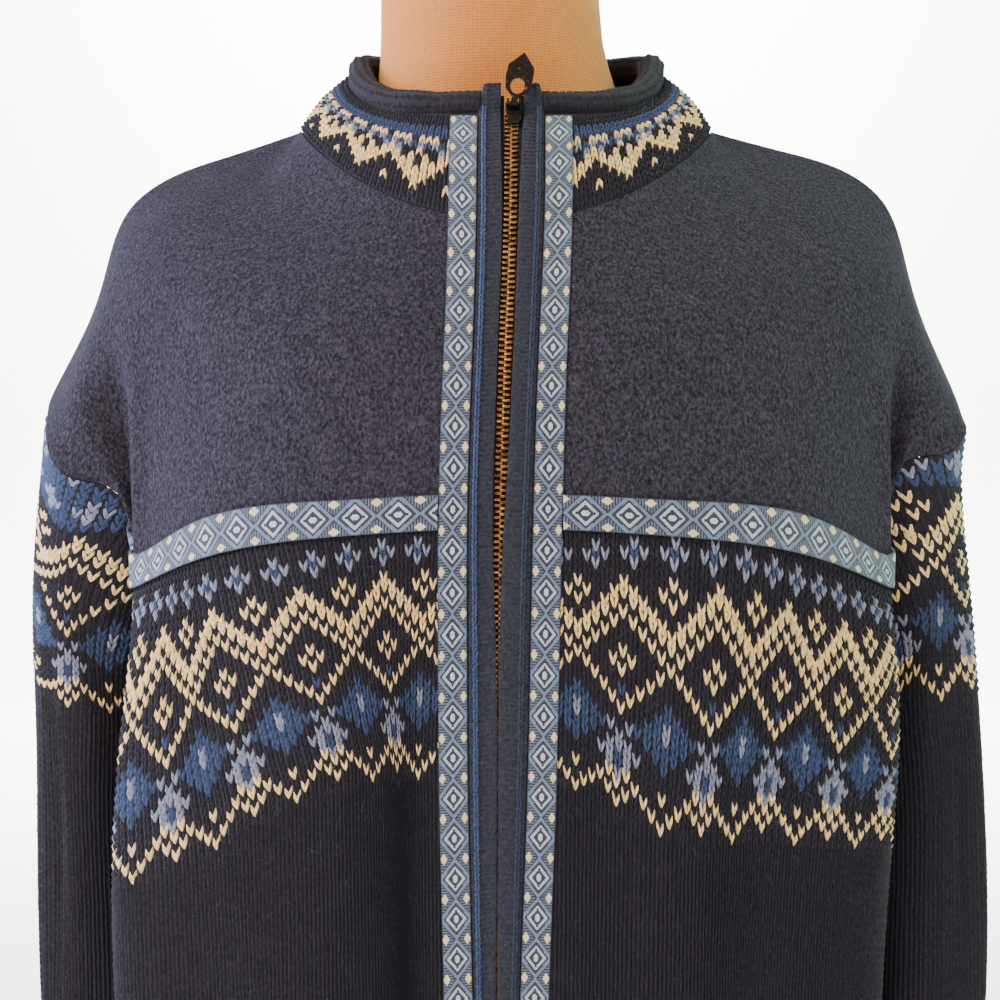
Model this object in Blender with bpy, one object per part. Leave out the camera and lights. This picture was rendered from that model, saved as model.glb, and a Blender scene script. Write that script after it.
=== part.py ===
"""Wool cardigan with a zip front, worn by a limbless dress form on a round stand.

Metres, +Z up. The front faces -Y and +X is to the right as seen from the front, which is also
what left and right mean here. The origin is the centre of the stand's underside. Heights in the
garment's tables are counted from its chest line.
"""
import math
from collections import namedtuple

import bmesh
import bpy
import numpy as np
from mathutils import Matrix, Vector
from mathutils.bvhtree import BVHTree

CHEST_LEVEL = 0.620  # height of the garment's chest line over the stand's underside

# Cloth and trimmings: wall thicknesses, and the gap that sewn pieces keep
SEAM_GAP = 0.0003
YOKE_SEAM_GAP = 0.0008  # under the woven ribbon
ARMHOLE_GAP = 0.0006
COLLAR_GAP = 0.0007
RIBBON_YOKE_LIFT = 0.0013  # the ribbon's back over the panels
FELT = 0.0022
KNIT = 0.0024
COLLAR_KNIT = 0.0026
RIBBON = 0.0011
RIBBON_FRONT_WIDTH = 0.0136
PLACKET = 0.0026
PLACKET_RAISED = 0.0010  # how far a placket stands over the panel beside it
PLACKET_RIDGE = 0.0009
PLACKET_TOP = 0.0150  # how far the plackets run up past the collar band
PLACKET_LEAN = 0.05  # how far back they lean there, for each metre up
PLACKET_TURN = 0.0060  # the stretch over which they turn upright
PLACKET_TIP = 0.72  # share of their width that is left at their rounded top
ROLL_RADIUS = 0.0065
ROLL_END_GAP = 0.0008  # to the plackets
TAPE = 0.0008
TAPE_WIDTH = 0.0090
TAPE_TOP = 0.0060  # its top end under the plackets' own
TAPE_FOOT = 0.0150  # its foot over the hem
RIBBON_TOP = 0.0030  # top end of the ribbon up the front, under the collar band's top

# Zip: a size 5 metal chain
CHAIN_HALF_WIDTH = 0.0033
CHAIN_THICKNESS = 0.0028
CHAIN_RECESS_OPEN = 0.0004  # under the panel's face, where the plackets leave it free
CHAIN_RECESS_COVERED = 0.0020  # where they close over it
CHAIN_COVER_START, CHAIN_COVER_LENGTH = 0.055, 0.045  # where the one turns into the other
CHAIN_TOP = 0.0090  # its top end under the plackets' own
CHAIN_FOOT = 0.0140  # its foot over the hem
SLIDER_DOWN = -0.0625
SLIDER_X = 0.0036
SLIDER_HALF_WIDTH = 0.0044
SLIDER_HALF_HEIGHT = 0.0062
SLIDER_PLATE = 0.0013
SLIDER_LIFT = 0.0009  # its plate's back over the line of the panel's face
HINGE_RISE = 0.0040  # hinge pin over the slider's plate
HINGE_HEIGHT = 0.0035  # hinge pin over the slider's middle
PIN_RADIUS = 0.0011
EAR_GAP = 0.0024  # from the slider's middle to each ear
EAR_THICKNESS = 0.0010
EAR_HALF_HEIGHT = 0.0017
EAR_RIM = 0.0006  # metal in front of the hinge pin
TAB_THICKNESS = 0.0015
TAB_TILT = math.radians(12)  # the tab leans to the right
TAB_BACK = math.radians(4)  # and a little towards the neck
BOX_SIZE = (0.0080, 0.0032, 0.0100)  # retainer at the zip's foot
BOX_RISE = 0.0075  # its middle over the hem
BOX_BEVEL = 0.0006

# Stand
BASE_RADIUS = 0.150
BASE_HEIGHT = 0.018
BASE_EDGE = 0.003
BASE_SIDES, POLE_SIDES = 48, 24
POLE_RADIUS = 0.0125

# Where the grids are cut
YOKE_FOOT = 0.1475  # down the cloth, at the middle of the woven ribbon
UNDERARM = 0.203
HEM = 0.590
RIBBON_YOKE_TOP, RIBBON_YOKE_FOOT = 0.1390, 0.1560
NECK_ACROSS = 0.53  # place of the neck's side on each panel, from 0 at the middle to 1 at its edge
YOKE_ROWS, ARMHOLE_ROWS, BODY_ROWS = 11, 4, 9
NECK_COLUMNS, SIDE_COLUMNS = 6, 8

# A section is a line across the cloth from the middle to the armhole or side seam. "down" is its
# distance down the cloth, centre is (y, z) and each further place (x, y, z). "spread" is how much
# wider the corner stands on the left and on the right, and "lift" how much higher the edge lies.
Section = namedtuple("Section", "name down centre chest flank corner hollow edge spread lift")
FRONT_SECTIONS = (
    Section("neckline", 0.000, (-.108, .136), (.078, -.070, .161), (.111, .002, .1995),
            (.2055, .002, .158), (.227, .002, .096), (.248, .002, .052), (0, 0), (0, -.010)),
    Section("collarbone", 0.033, (-.119, .105), (.072, -.110, .112), (.140, -.060, .143),
            (.200, -.036, .122), (.2225, -.028, .075), (.244, -.022, .036), (0, 0), (0, .002)),
    Section("chest", 0.088, (-.138, .053), (.074, -.133, .056), (.145, -.099, .068),
            (.190, -.058, .058), (.2075, -.044, .036), (.226, -.044, .012), (0, .003), (0, .012)),
    Section("ribbon_top", 0.138, (-.148, .004), (.076, -.142, .001), (.149, -.108, -.009),
            (.1885, -.060, -.026), (.194, -.053, -.016), (.193, -.044, -.008), (0, .006), (0, .010)),
    Section("ribbon_foot", 0.157, (-.149, -.0145), (.076, -.143, -.018), (.149, -.108, -.030),
            (.1895, -.060, -.046), (.188, -.050, -.041), (.185, -.038, -.035), (0, .006), (0, .004)),
    Section("underarm", 0.203, (-.148, -.060), (.077, -.143, -.066), (.150, -.108, -.080),
            (.1925, -.059, -.098), (.177, -.031, -.096), (.172, .000, -.090), (0, .0055), (0, 0)),
    Section("band_foot", 0.281, (-.139, -.137), (.077, -.135, -.145), (.151, -.106, -.163),
            (.1990, -.058, -.184), (.177, -.030, -.188), (.164, .004, -.186), (0, -.0045), (0, 0)),
    Section("waist", 0.380, (-.130, -.235), (.076, -.127, -.243), (.149, -.102, -.258),
            (.1970, -.057, -.276), (.175, -.027, -.282), (.163, .006, -.282), (0, -.0075), (0, 0)),
    Section("hem", 0.590, (-.126, -.440), (.074, -.122, -.445), (.146, -.100, -.452),
            (.196, -.056, -.460), (.173, -.026, -.463), (.162, .006, -.463), (0, -.005), (0, 0)),
)
BACK_SECTIONS = (
    Section("neckline", 0.000, (.085, .188), (.078, .062, .191), (.111, .002, .1995),
            (.2055, .002, .158), (.227, .002, .096), (.248, .002, .052), (0, 0), (0, -.010)),
    Section("shoulder_blade", 0.033, (.106, .143), (.072, .100, .143), (.140, .062, .143),
            (.200, .040, .122), (.2225, .034, .075), (.244, .028, .036), (0, 0), (0, .002)),
    Section("chest", 0.088, (.123, .066), (.074, .119, .066), (.145, .094, .068),
            (.190, .066, .058), (.207, .050, .035), (.226, .050, .008), (0, .002), (0, .010)),
    Section("ribbon_top", 0.138, (.128, .000), (.076, .125, -.002), (.146, .104, -.010),
            (.186, .070, -.024), (.189, .060, -.024), (.191, .050, -.022), (0, .002), (0, .004)),
    Section("ribbon_foot", 0.157, (.128, -.0185), (.076, .125, -.0205), (.146, .105, -.029),
            (.186, .071, -.042), (.186, .056, -.043), (.185, .042, -.042), (0, .002), (0, .002)),
    Section("underarm", 0.203, (.127, -.064), (.076, .124, -.067), (.145, .105, -.076),
            (.184, .074, -.088), (.177, .034, -.092), (.172, .000, -.090), (0, .002), (0, 0)),
    Section("band_foot", 0.281, (.126, -.141), (.076, .123, -.145), (.144, .106, -.157),
            (.182, .078, -.172), (.172, .042, -.182), (.164, .004, -.186), (0, 0), (0, 0)),
    Section("waist", 0.380, (.125, -.240), (.075, .122, -.244), (.143, .105, -.256),
            (.181, .078, -.270), (.171, .042, -.279), (.163, .006, -.282), (0, 0), (0, 0)),
    Section("hem", 0.590, (.124, -.448), (.074, .121, -.450), (.141, .104, -.455),
            (.178, .077, -.460), (.169, .042, -.463), (.162, .006, -.463), (0, 0), (0, 0)),
)
CORNER_ACROSS = 0.76
HOLLOW_SPREAD = 0.3  # share of the corner's spread that the hollow takes
ACROSS = (0, 0.26, NECK_ACROSS, CORNER_ACROSS, 0.88, 1)  # places of a section's six columns

# The side seam, from the underarm to the hem
SeamPoint = namedtuple("SeamPoint", "down x y z")
SIDE_SEAM = (
    SeamPoint(0.203, .172, .000, -.090),
    SeamPoint(0.281, .164, .004, -.186),
    SeamPoint(0.380, .163, .006, -.282),
    SeamPoint(0.590, .162, .006, -.463),
)

# The shoulder ridge, from the neck's side (share 0) to the top of the sleeve seam (share 1)
RidgePoint = namedtuple("RidgePoint", "share x z")
SHOULDER_RIDGE = (
    RidgePoint(0.00, .1110, .1995),
    RidgePoint(0.18, .1500, .1875),
    RidgePoint(0.34, .1830, .1760),
    RidgePoint(0.47, .2050, .1585),
    RidgePoint(0.62, .2165, .1285),
    RidgePoint(0.78, .2275, .0950),
    RidgePoint(0.95, .2460, .0575),
    RidgePoint(1.00, .2480, .0520),
)
RIDGE_Y = 0.002
RIDGE_RISE = (0.003, -0.002)  # how much higher the ridge's middle lies on the right and on the left
RIDGE_DROP = (0.010, 0.0)  # how much lower its outer end lies
RIDGE_PULL = 0.060  # how far down the panels the ridge draws their tops to itself

# Rings round the neck
Ring = namedtuple("Ring", "half_width side_z front_y front_z back_y back_z level")
COLLAR_FOOT = Ring(.1110, .1995, -.108, .136, .085, .188, False)
ROLL_CENTRE = Ring(.0785, .2345, -.0745, .1995, .074, .2445, True)
RING_DIP = 1.6  # how sharply a ring's height changes towards the front and the back
RING_LEVEL = 1.6  # how soon a level ring reaches its height there
COLLAR_BULGE = 0.003
FOOT_BEND = 0.016  # the stretch over which the front bends into the band

# The front closure: its middle line, the plackets' outer edges, and the plackets' inner edges,
# which leave the chain free above and meet over it below
Closure = namedtuple("Closure", "down middle half gap_left gap_right")
CLOSURE = (
    Closure(-0.080, .0026, .0165, .0053, .0064),
    Closure(-0.045, .0022, .0165, .0050, .0054),
    Closure(0.000, .0017, .0162, .0040, .0040),
    Closure(0.033, .0007, .0158, .0038, .0038),
    Closure(0.088, -.0014, .0152, .0037, .0036),
    Closure(0.138, -.0029, .0150, .0036, .0024),
    Closure(0.157, -.0033, .0149, .0033, .0016),
    Closure(0.203, -.0038, .0145, .0016, .0004),
    Closure(0.281, -.0044, .0136, .0003, .0003),
    Closure(0.380, -.0050, .0110, .0003, .0003),
    Closure(0.590, -.0050, .0100, .0003, .0003),
)

# The largest folds. "across" and "width" are in shares of the panel, or of half a turn on a
# sleeve. "lean" is how far the fold drifts across from its top to its foot.
Fold = namedtuple("Fold", "across lean top foot width height")
FRONT_FOLDS = (
    Fold(-0.765, 0.00, 0.040, 0.170, 0.035, 0.0035),
    Fold(-0.840, 0.00, 0.050, 0.170, 0.045, -0.0050),
    Fold(-0.930, 0.01, 0.020, 0.130, 0.040, 0.0030),
    Fold(0.760, 0.01, 0.040, 0.170, 0.035, 0.0030),
    Fold(0.835, 0.00, 0.050, 0.165, 0.040, -0.0055),
    Fold(0.905, -0.01, 0.030, 0.150, 0.035, 0.0025),
    Fold(-0.560, 0.08, 0.210, 0.560, 0.090, -0.0040),
    Fold(0.520, -0.06, 0.230, 0.580, 0.080, -0.0035),
    Fold(-0.330, -0.05, 0.300, 0.580, 0.070, 0.0030),
    Fold(0.300, 0.05, 0.330, 0.580, 0.070, 0.0030),
)
BACK_FOLDS = (
    Fold(-0.700, 0.12, 0.060, 0.220, 0.050, -0.0050),
    Fold(0.690, -0.10, 0.070, 0.230, 0.050, -0.0045),
    Fold(-0.380, 0.06, 0.200, 0.560, 0.080, -0.0040),
    Fold(0.420, -0.08, 0.230, 0.580, 0.090, -0.0045),
    Fold(0.050, 0.04, 0.280, 0.570, 0.080, 0.0035),
)
SLEEVE_FOLDS = (
    Fold(0.18, 0.06, 0.120, 0.420, 0.070, 0.0030),
    Fold(0.36, -0.05, 0.100, 0.330, 0.060, -0.0035),
    Fold(0.62, 0.05, 0.180, 0.470, 0.080, 0.0030),
    Fold(1.48, 0.05, 0.150, 0.450, 0.080, -0.0040),
    Fold(1.70, -0.06, 0.080, 0.400, 0.070, 0.0030),
)

# Sleeves, ring by ring: heights of the outer and inner side, the outer side's distance from the
# middle on each arm, and the ring's other three sides
Cuff = namedtuple("Cuff", "down outer_z inner_z outer_left outer_right inner_x front_y back_y")
SLEEVE_RINGS = (
    Cuff(0.030, .020, -.104, .2505, .2455, .1800, -.044, .056),
    Cuff(0.080, -.035, -.135, .2550, .2495, .1840, -.043, .058),
    Cuff(0.145, -.100, -.175, .2545, .2550, .1845, -.044, .062),
    Cuff(0.220, -.170, -.220, .2525, .2585, .1840, -.042, .063),
    Cuff(0.300, -.260, -.280, .2515, .2600, .1830, -.038, .060),
    Cuff(0.385, -.350, -.357, .2495, .2560, .1840, -.032, .055),
    Cuff(0.465, -.432, -.432, .2450, .2480, .1860, -.025, .048),
)
SLEEVE_END = 0.465
SLEEVE_ROWS = 12
SLEEVE_CROWDING = 1.15  # over 1, the rows stand closer near the armhole
SLEEVE_ASIDE = 0.7  # how much of the armhole's gap opens sideways where the sleeve turns down

# Dress form, ring by ring from the foot: height, half width, front, back and sideways shift
FormRing = namedtuple("FormRing", "z half_width front back shift")
FORM_RINGS = (
    FormRing(-.4200, .148, .100, .104, 0),
    FormRing(-.4120, .154, .106, .110, 0),
    FormRing(-.3400, .156, .110, .110, 0),
    FormRing(-.2600, .140, .103, .103, 0),
    FormRing(-.1900, .124, .098, .092, 0),
    FormRing(-.1200, .134, .110, .098, 0),
    FormRing(-.0600, .148, .126, .106, 0),
    FormRing(-.0100, .156, .136, .112, 0),
    FormRing(.0400, .161, .132, .114, 0),
    FormRing(.0900, .174, .112, .108, 0),
    FormRing(.1200, .188, .098, .098, 0),
    FormRing(.1400, .197, .088, .088, 0),
    FormRing(.1540, .200, .080, .080, 0),
    FormRing(.1640, .198, .076, .074, 0),
    FormRing(.1730, .187, .072, .069, 0),
    FormRing(.1810, .170, .069, .066, 0),
    FormRing(.1880, .149, .067, .064, 0),
    FormRing(.1915, .132, .065, .063, 0),
    FormRing(.1950, .098, .062, .062, -.001),
    FormRing(.2050, .074, .056, .059, -.003),
    FormRing(.2200, .0640, .056, .058, -.005),
    FormRing(.2450, .060, .058, .058, -.008),
    FormRing(.2850, .0590, .057, .057, -.009),
    FormRing(.2960, .0560, .054, .054, -.009),
)
FORM_COLUMNS = 32
FORM_CLEAR = 0.0016  # level distance that the form keeps to the cloth round it
FORM_PASSES = 6  # rounds of drawing its faces in behind the cloth


def clear_scene():
    for thing in list(bpy.data.objects):
        bpy.data.objects.remove(thing, do_unlink=True)


def finish(name, colour, roughness, metallic=0.0):
    """A material with one Principled shader."""
    made = bpy.data.materials.new(name)
    made.use_nodes = True
    shader = made.node_tree.nodes["Principled BSDF"]
    shader.inputs["Base Color"].default_value = (*colour, 1)
    shader.inputs["Roughness"].default_value = roughness
    shader.inputs["Metallic"].default_value = metallic
    return made


def unit(vectors):
    return vectors / np.maximum(np.linalg.norm(vectors, axis=-1, keepdims=True), 1e-12)


def spline_weights(knots, places):
    """A row of weights for each place, which turn values at the knots into a natural cubic spline."""
    knots = np.asarray(knots, float)
    places = np.asarray(places, float)
    count, step = len(knots), np.diff(knots)
    curve, pull = np.eye(count), np.zeros((count, count))
    for i in range(1, count - 1):
        curve[i, i - 1: i + 2] = step[i - 1], 2 * (step[i - 1] + step[i]), step[i]
        pull[i, i - 1: i + 2] = 6 / step[i - 1], -6 / step[i - 1] - 6 / step[i], 6 / step[i]
    bend = np.linalg.solve(curve, pull)
    low = np.clip(np.searchsorted(knots, places, side="right") - 1, 0, count - 2)
    after = ((places - knots[low]) / step[low])[:, None]
    before, ends, scale = 1 - after, np.eye(count), (step[low] ** 2 / 6)[:, None]
    bent = (before**3 - before) * bend[low] + (after**3 - after) * bend[low + 1]
    return before * ends[low] + after * ends[low + 1] + scale * bent


def table_at(rows, column, places, key="down"):
    """A column of a table, read by a spline at these places."""
    knots = [getattr(row, key) for row in rows]
    values = np.array([getattr(row, column) for row in rows])
    places = np.asarray(places, float)
    return (spline_weights(knots, places.ravel()) @ values).reshape(places.shape)


def ring_point(ring, turn):
    """Points of a ring round the neck; turn is 0 at the front, a quarter turn at +X."""
    turn = np.asarray(turn, float)
    cos = np.cos(turn)
    reach = np.abs(cos)
    front = cos > 0
    end_y = np.where(front, ring.front_y, ring.back_y)
    end_z = np.where(front, ring.front_z, ring.back_z)
    y = RIDGE_Y + (end_y - RIDGE_Y) * reach
    turned = 1 - (1 - reach) ** RING_LEVEL if ring.level else reach**RING_DIP
    z = ring.side_z + (end_z - ring.side_z) * turned
    return np.stack([ring.half_width * np.sin(turn), y, z], axis=-1)


def relief(folds, across, down):
    """How far the folds push the cloth out."""
    out = np.zeros(np.broadcast(across, down).shape)
    for fold in folds:
        share = np.clip((down - fold.top) / (fold.foot - fold.top), 0, 1)
        middle = fold.across + fold.lean * share
        out += fold.height * np.sin(math.pi * share) ** 2 * np.exp(-(((across - middle) / fold.width) ** 2))
    return out


class Panel:
    """The front or the back as one surface: across runs from -1 to 1, down from the neckline."""

    def __init__(self, sections, facing, folds):
        self.facing = facing  # -1 for the front, which faces -Y, and 1 for the back
        self.folds = folds
        self.downs = [section.down for section in sections]
        self.places = [-a for a in reversed(ACROSS[1:])] + list(ACROSS)
        self.net = np.array([self.whole_row(section) for section in sections])

    @staticmethod
    def whole_row(section):
        """The section's eleven points, from the left edge to the right edge."""
        halves = []
        for side, spread, lift in zip((-1, 1), section.spread, section.lift):
            wider = (0, spread / 2, spread, spread * HOLLOW_SPREAD, 0)
            higher = (0, 0, 0, lift / 2, lift)
            points = (section.chest, section.flank, section.corner, section.hollow, section.edge)
            halves.append([(side * (x + w), y, z + h) for (x, y, z), w, h in zip(points, wider, higher)])
        return halves[0][::-1] + [(0, *section.centre)] + halves[1]

    def top_line(self, across):
        """The neckline as far as the neck's side, and the shoulder ridge from there."""
        place, side = np.abs(across), np.sign(across)
        turn = np.clip(place / NECK_ACROSS, 0, 1) * math.pi / 2
        neckline = ring_point(COLLAR_FOOT, turn if self.facing < 0 else math.pi - turn)
        share = np.clip((place - NECK_ACROSS) / (1 - NECK_ACROSS), 0, 1)
        x = table_at(SHOULDER_RIDGE, "x", share, "share")
        z = table_at(SHOULDER_RIDGE, "z", share, "share")
        rise, drop = np.where(side > 0, *RIDGE_RISE), np.where(side > 0, *RIDGE_DROP)
        z = z + rise * np.sin(math.pi * share) - drop * share**4
        ridge = np.stack([x, np.full_like(x, RIDGE_Y), z], axis=-1)
        line = np.where((place <= NECK_ACROSS)[..., None], neckline, ridge)
        line[..., 0] *= side
        return line

    def smooth(self, across, down):
        """Points of the surface before its folds."""
        shape = across.shape
        across_flat, down_flat = across.ravel(), down.ravel()
        over = spline_weights(self.places, across_flat)
        along = spline_weights(self.downs, down_flat)
        points = np.einsum("ki,kj,ijc->kc", along, over, self.net)
        # Near the top the sections' own curve gives way to the true neckline and ridge.
        at_top = over @ self.net[0]
        pull = np.clip(1 - down_flat / RIDGE_PULL, 0, 1)[:, None] ** 3
        points = points + pull * (self.top_line(across_flat) - at_top)
        # Below the underarm both panels end on the side seam.
        on_left = across_flat < 0
        edge = along @ self.net[:, 0]
        edge = np.where(on_left[:, None], edge, along @ self.net[:, -1])
        seam_down = np.maximum(down_flat, UNDERARM)
        seam = np.stack([table_at(SIDE_SEAM, key, seam_down) for key in "xyz"], axis=-1)
        seam[:, 0] *= np.where(on_left, -1, 1)
        near = np.clip((np.abs(across_flat) - CORNER_ACROSS) / (1 - CORNER_ACROSS), 0, 1) ** 2
        near = np.where(down_flat >= UNDERARM, near, 0)
        points = points + near[:, None] * (seam - edge)
        return points.reshape(*shape, 3)

    def facing_out(self, surface, across, down):
        step_across, step_down = 0.002, 0.0005
        over = surface(across + step_across, down) - surface(across - step_across, down)
        along = surface(across, down + step_down) - surface(across, np.maximum(down - step_down, 0))
        return unit(np.cross(over, along)) * self.facing

    def point(self, across, down):
        across, down = np.broadcast_arrays(np.asarray(across, float), np.asarray(down, float))
        out = self.facing_out(self.smooth, across, down)
        return self.smooth(across, down) + out * relief(self.folds, across, down)[..., None]

    def normal(self, across, down):
        across, down = np.broadcast_arrays(np.asarray(across, float), np.asarray(down, float))
        return self.facing_out(self.point, across, down)

    def across_at(self, x, down):
        """The places across at which the surface stands this far to the side, near the middle."""
        tries = np.linspace(-0.3, 0.3, 61)
        found = np.empty(len(down))
        for i, (wanted, depth) in enumerate(zip(x, down)):
            found[i] = np.interp(wanted, self.smooth(tries, np.full(61, depth))[:, 0], tries)
        return found


def new_object(name, mesh, material):
    mesh.materials.append(material)
    mesh.shade_smooth()
    mesh.set_sharp_from_angle(angle=math.radians(50))
    made = bpy.data.objects.new(name, mesh)
    bpy.context.collection.objects.link(made)
    return made


def mesh_of(name, vertices, faces):
    """A closed mesh with its faces turned outwards."""
    mesh = bpy.data.meshes.new(name)
    mesh.from_pydata([tuple(v) for v in vertices], [], faces)
    shape = bmesh.new()
    shape.from_mesh(mesh)
    bmesh.ops.recalc_face_normals(shape, faces=shape.faces)
    if shape.calc_volume(signed=True) < 0:
        bmesh.ops.reverse_faces(shape, faces=shape.faces)
    shape.to_mesh(mesh)
    shape.free()
    return mesh


def wall_faces(rows, columns, closed):
    """Faces of a wall whose outer and inner points are two grids, with the rims that join them."""
    inner = rows * columns
    faces = []
    last = columns if closed else columns - 1
    for r in range(rows - 1):
        for c in range(last):
            n = (c + 1) % columns
            quad = (r * columns + c, r * columns + n, (r + 1) * columns + n, (r + 1) * columns + c)
            faces.append(quad)
            faces.append(tuple(inner + v for v in reversed(quad)))
    for c in range(last):
        n = (c + 1) % columns
        foot = (rows - 1) * columns
        faces.append((n, c, inner + c, inner + n))
        faces.append((foot + c, foot + n, inner + foot + n, inner + foot + c))
    if not closed:
        for r in range(rows - 1):
            here, below = r * columns, (r + 1) * columns
            faces.append((here, below, inner + below, inner + here))
            here, below = here + columns - 1, below + columns - 1
            faces.append((below, here, inner + here, inner + below))
    return faces


def wall(name, outer, inner, material, closed=False):
    rows, columns = outer.shape[:2]
    vertices = np.concatenate([outer.reshape(-1, 3), inner.reshape(-1, 3)])
    return new_object(name, mesh_of(name, vertices, wall_faces(rows, columns, closed)), material)


def solid_of_rings(name, rings, material):
    """A closed solid through rings of equal counts, capped at both ends."""
    count = len(rings[0])
    vertices = [tuple(p) for ring in rings for p in ring]
    faces = [tuple(range(count))[::-1], tuple(range(len(vertices) - count, len(vertices)))]
    for r in range(len(rings) - 1):
        for c in range(count):
            n = (c + 1) % count
            faces.append((r * count + c, r * count + n, (r + 1) * count + n, (r + 1) * count + c))
    return new_object(name, mesh_of(name, vertices, faces), material)


def panel_grid(panel, start, end, downs):
    """Places across for each row: even steps to the neck's side, then to the edge, in each half."""
    rows = []
    for low, high in zip(np.broadcast_to(start, downs.shape), np.broadcast_to(end, downs.shape)):
        breaks = [(low, -NECK_ACROSS, SIDE_COLUMNS), (-NECK_ACROSS, 0, NECK_COLUMNS),
                  (0, NECK_ACROSS, NECK_COLUMNS), (NECK_ACROSS, high, SIDE_COLUMNS)]
        if low > -NECK_ACROSS:
            breaks = [(low, NECK_ACROSS, NECK_COLUMNS), (NECK_ACROSS, high, SIDE_COLUMNS)]
        if high < NECK_ACROSS:
            breaks = [(low, -NECK_ACROSS, SIDE_COLUMNS), (-NECK_ACROSS, high, NECK_COLUMNS)]
        places = [np.linspace(a, b, n + 1)[:-1] for a, b, n in breaks]
        rows.append(np.concatenate([*places, [high]]))
    across = np.array(rows)
    return across, np.broadcast_to(downs[:, None], across.shape)


def panel_wall(name, panel, other, across, down, thickness, material):
    """A piece of the front or back, whose rims meet the other panel's squarely."""
    outer, out = panel.point(across, down), panel.normal(across, down)
    shared = other.normal(across, down)
    on_ridge = (down <= 0) & (np.abs(across) >= NECK_ACROSS)
    on_side = (np.abs(across) >= 1 - 1e-9) & (down >= UNDERARM - 1e-9)
    on_seam = (on_ridge | on_side)[..., None]
    out = np.where(on_seam, unit(out + shared), out)
    outer = outer + on_seam * np.array([0, panel.facing * SEAM_GAP / 2, 0])
    return wall(name, outer, outer - out * thickness, material)


def yoke_downs():
    return np.append(np.linspace(0, RIBBON_YOKE_TOP, YOKE_ROWS), YOKE_FOOT)


def body_downs():
    armhole = np.linspace(RIBBON_YOKE_FOOT, UNDERARM, ARMHOLE_ROWS)
    return np.concatenate([[YOKE_FOOT], armhole, np.linspace(UNDERARM, HEM, BODY_ROWS + 1)[1:]])


def panel_downs():
    """The rows of the yoke and the body in one, for what is sewn over both."""
    return np.concatenate([yoke_downs(), body_downs()[1:]])


def closure_x(down, side, column):
    """How far to the side a line of the closure lies: its middle plus or minus a column."""
    return table_at(CLOSURE, "middle", down) + side * table_at(CLOSURE, column, down)


def build_panels(front, back, felt, knit):
    for side, word in ((-1, "left"), (1, "right")):
        for piece, downs, cloth, thickness in (
            ("yoke", yoke_downs(), felt, FELT),
            ("body", body_downs(), knit, KNIT),
        ):
            edge = closure_x(downs, side, "half") + side * SEAM_GAP
            inner = front.across_at(edge, downs)
            ends = (np.full_like(inner, -1), inner) if side < 0 else (inner, np.full_like(inner, 1))
            across, down = panel_grid(front, *ends, downs)
            down = parted(down, piece)
            panel_wall(f"{piece}_front_{word}", front, back, across, down, thickness, cloth)
    for piece, downs, cloth, thickness in (
        ("yoke", yoke_downs(), felt, FELT),
        ("body", body_downs(), knit, KNIT),
    ):
        across, down = panel_grid(back, -1.0, 1.0, downs)
        panel_wall(f"{piece}_back", back, front, across, parted(down, piece), thickness, cloth)


def parted(down, piece):
    """The rows with the yoke seam's gap opened between the yoke and the body."""
    shift = -YOKE_SEAM_GAP / 2 if piece == "yoke" else YOKE_SEAM_GAP / 2
    return np.where(np.isclose(down, YOKE_FOOT), down + shift, down)


def armhole_ring(front, back, side):
    """Points round an armhole: down its front from the top, and up its back."""
    downs = np.concatenate([yoke_downs(), body_downs()[1: ARMHOLE_ROWS + 1]])
    edge = np.full_like(downs, side)
    fore, aft = front.point(edge, downs), back.point(edge, downs)
    fore_out, aft_out = front.normal(edge, downs), back.normal(edge, downs)
    both = unit(fore_out + aft_out)
    fore_out[0] = aft_out[0] = both[0]
    points = np.concatenate([fore, aft[-2:0:-1]])
    out = np.concatenate([fore_out, aft_out[-2:0:-1]])
    turns = []
    for line in (fore, aft):
        length = np.concatenate([[0], np.cumsum(np.linalg.norm(np.diff(line, axis=0), axis=1))])
        turns.append(math.pi * length / length[-1])
    return points, out, np.concatenate([turns[0], 2 * math.pi - turns[1][-2:0:-1]])


def sleeve_surface(points, turn, side, downs):
    """The sleeve's points: a spline down each line from the armhole through the rings."""
    lines = [points]
    for ring in SLEEVE_RINGS:
        outer_x = ring.outer_left if side < 0 else ring.outer_right
        middle_x, reach_x = (outer_x + ring.inner_x) / 2, (outer_x - ring.inner_x) / 2
        middle_y, reach_y = (ring.back_y + ring.front_y) / 2, (ring.back_y - ring.front_y) / 2
        middle_z, reach_z = (ring.outer_z + ring.inner_z) / 2, (ring.outer_z - ring.inner_z) / 2
        x = side * (middle_x + reach_x * np.cos(turn))
        y = middle_y - reach_y * np.sin(turn)
        z = middle_z + reach_z * np.cos(turn)
        lines.append(np.stack([x, y, z], axis=-1))
    weights = spline_weights([0] + [ring.down for ring in SLEEVE_RINGS], downs)
    return np.einsum("ri,icd->rcd", weights, np.array(lines))


def grid_normals(grid, out_sign):
    """Normals of a grid that is closed across its columns."""
    around = np.roll(grid, -1, axis=1) - np.roll(grid, 1, axis=1)
    along = np.gradient(grid, axis=0)
    return unit(np.cross(around, along)) * out_sign


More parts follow.
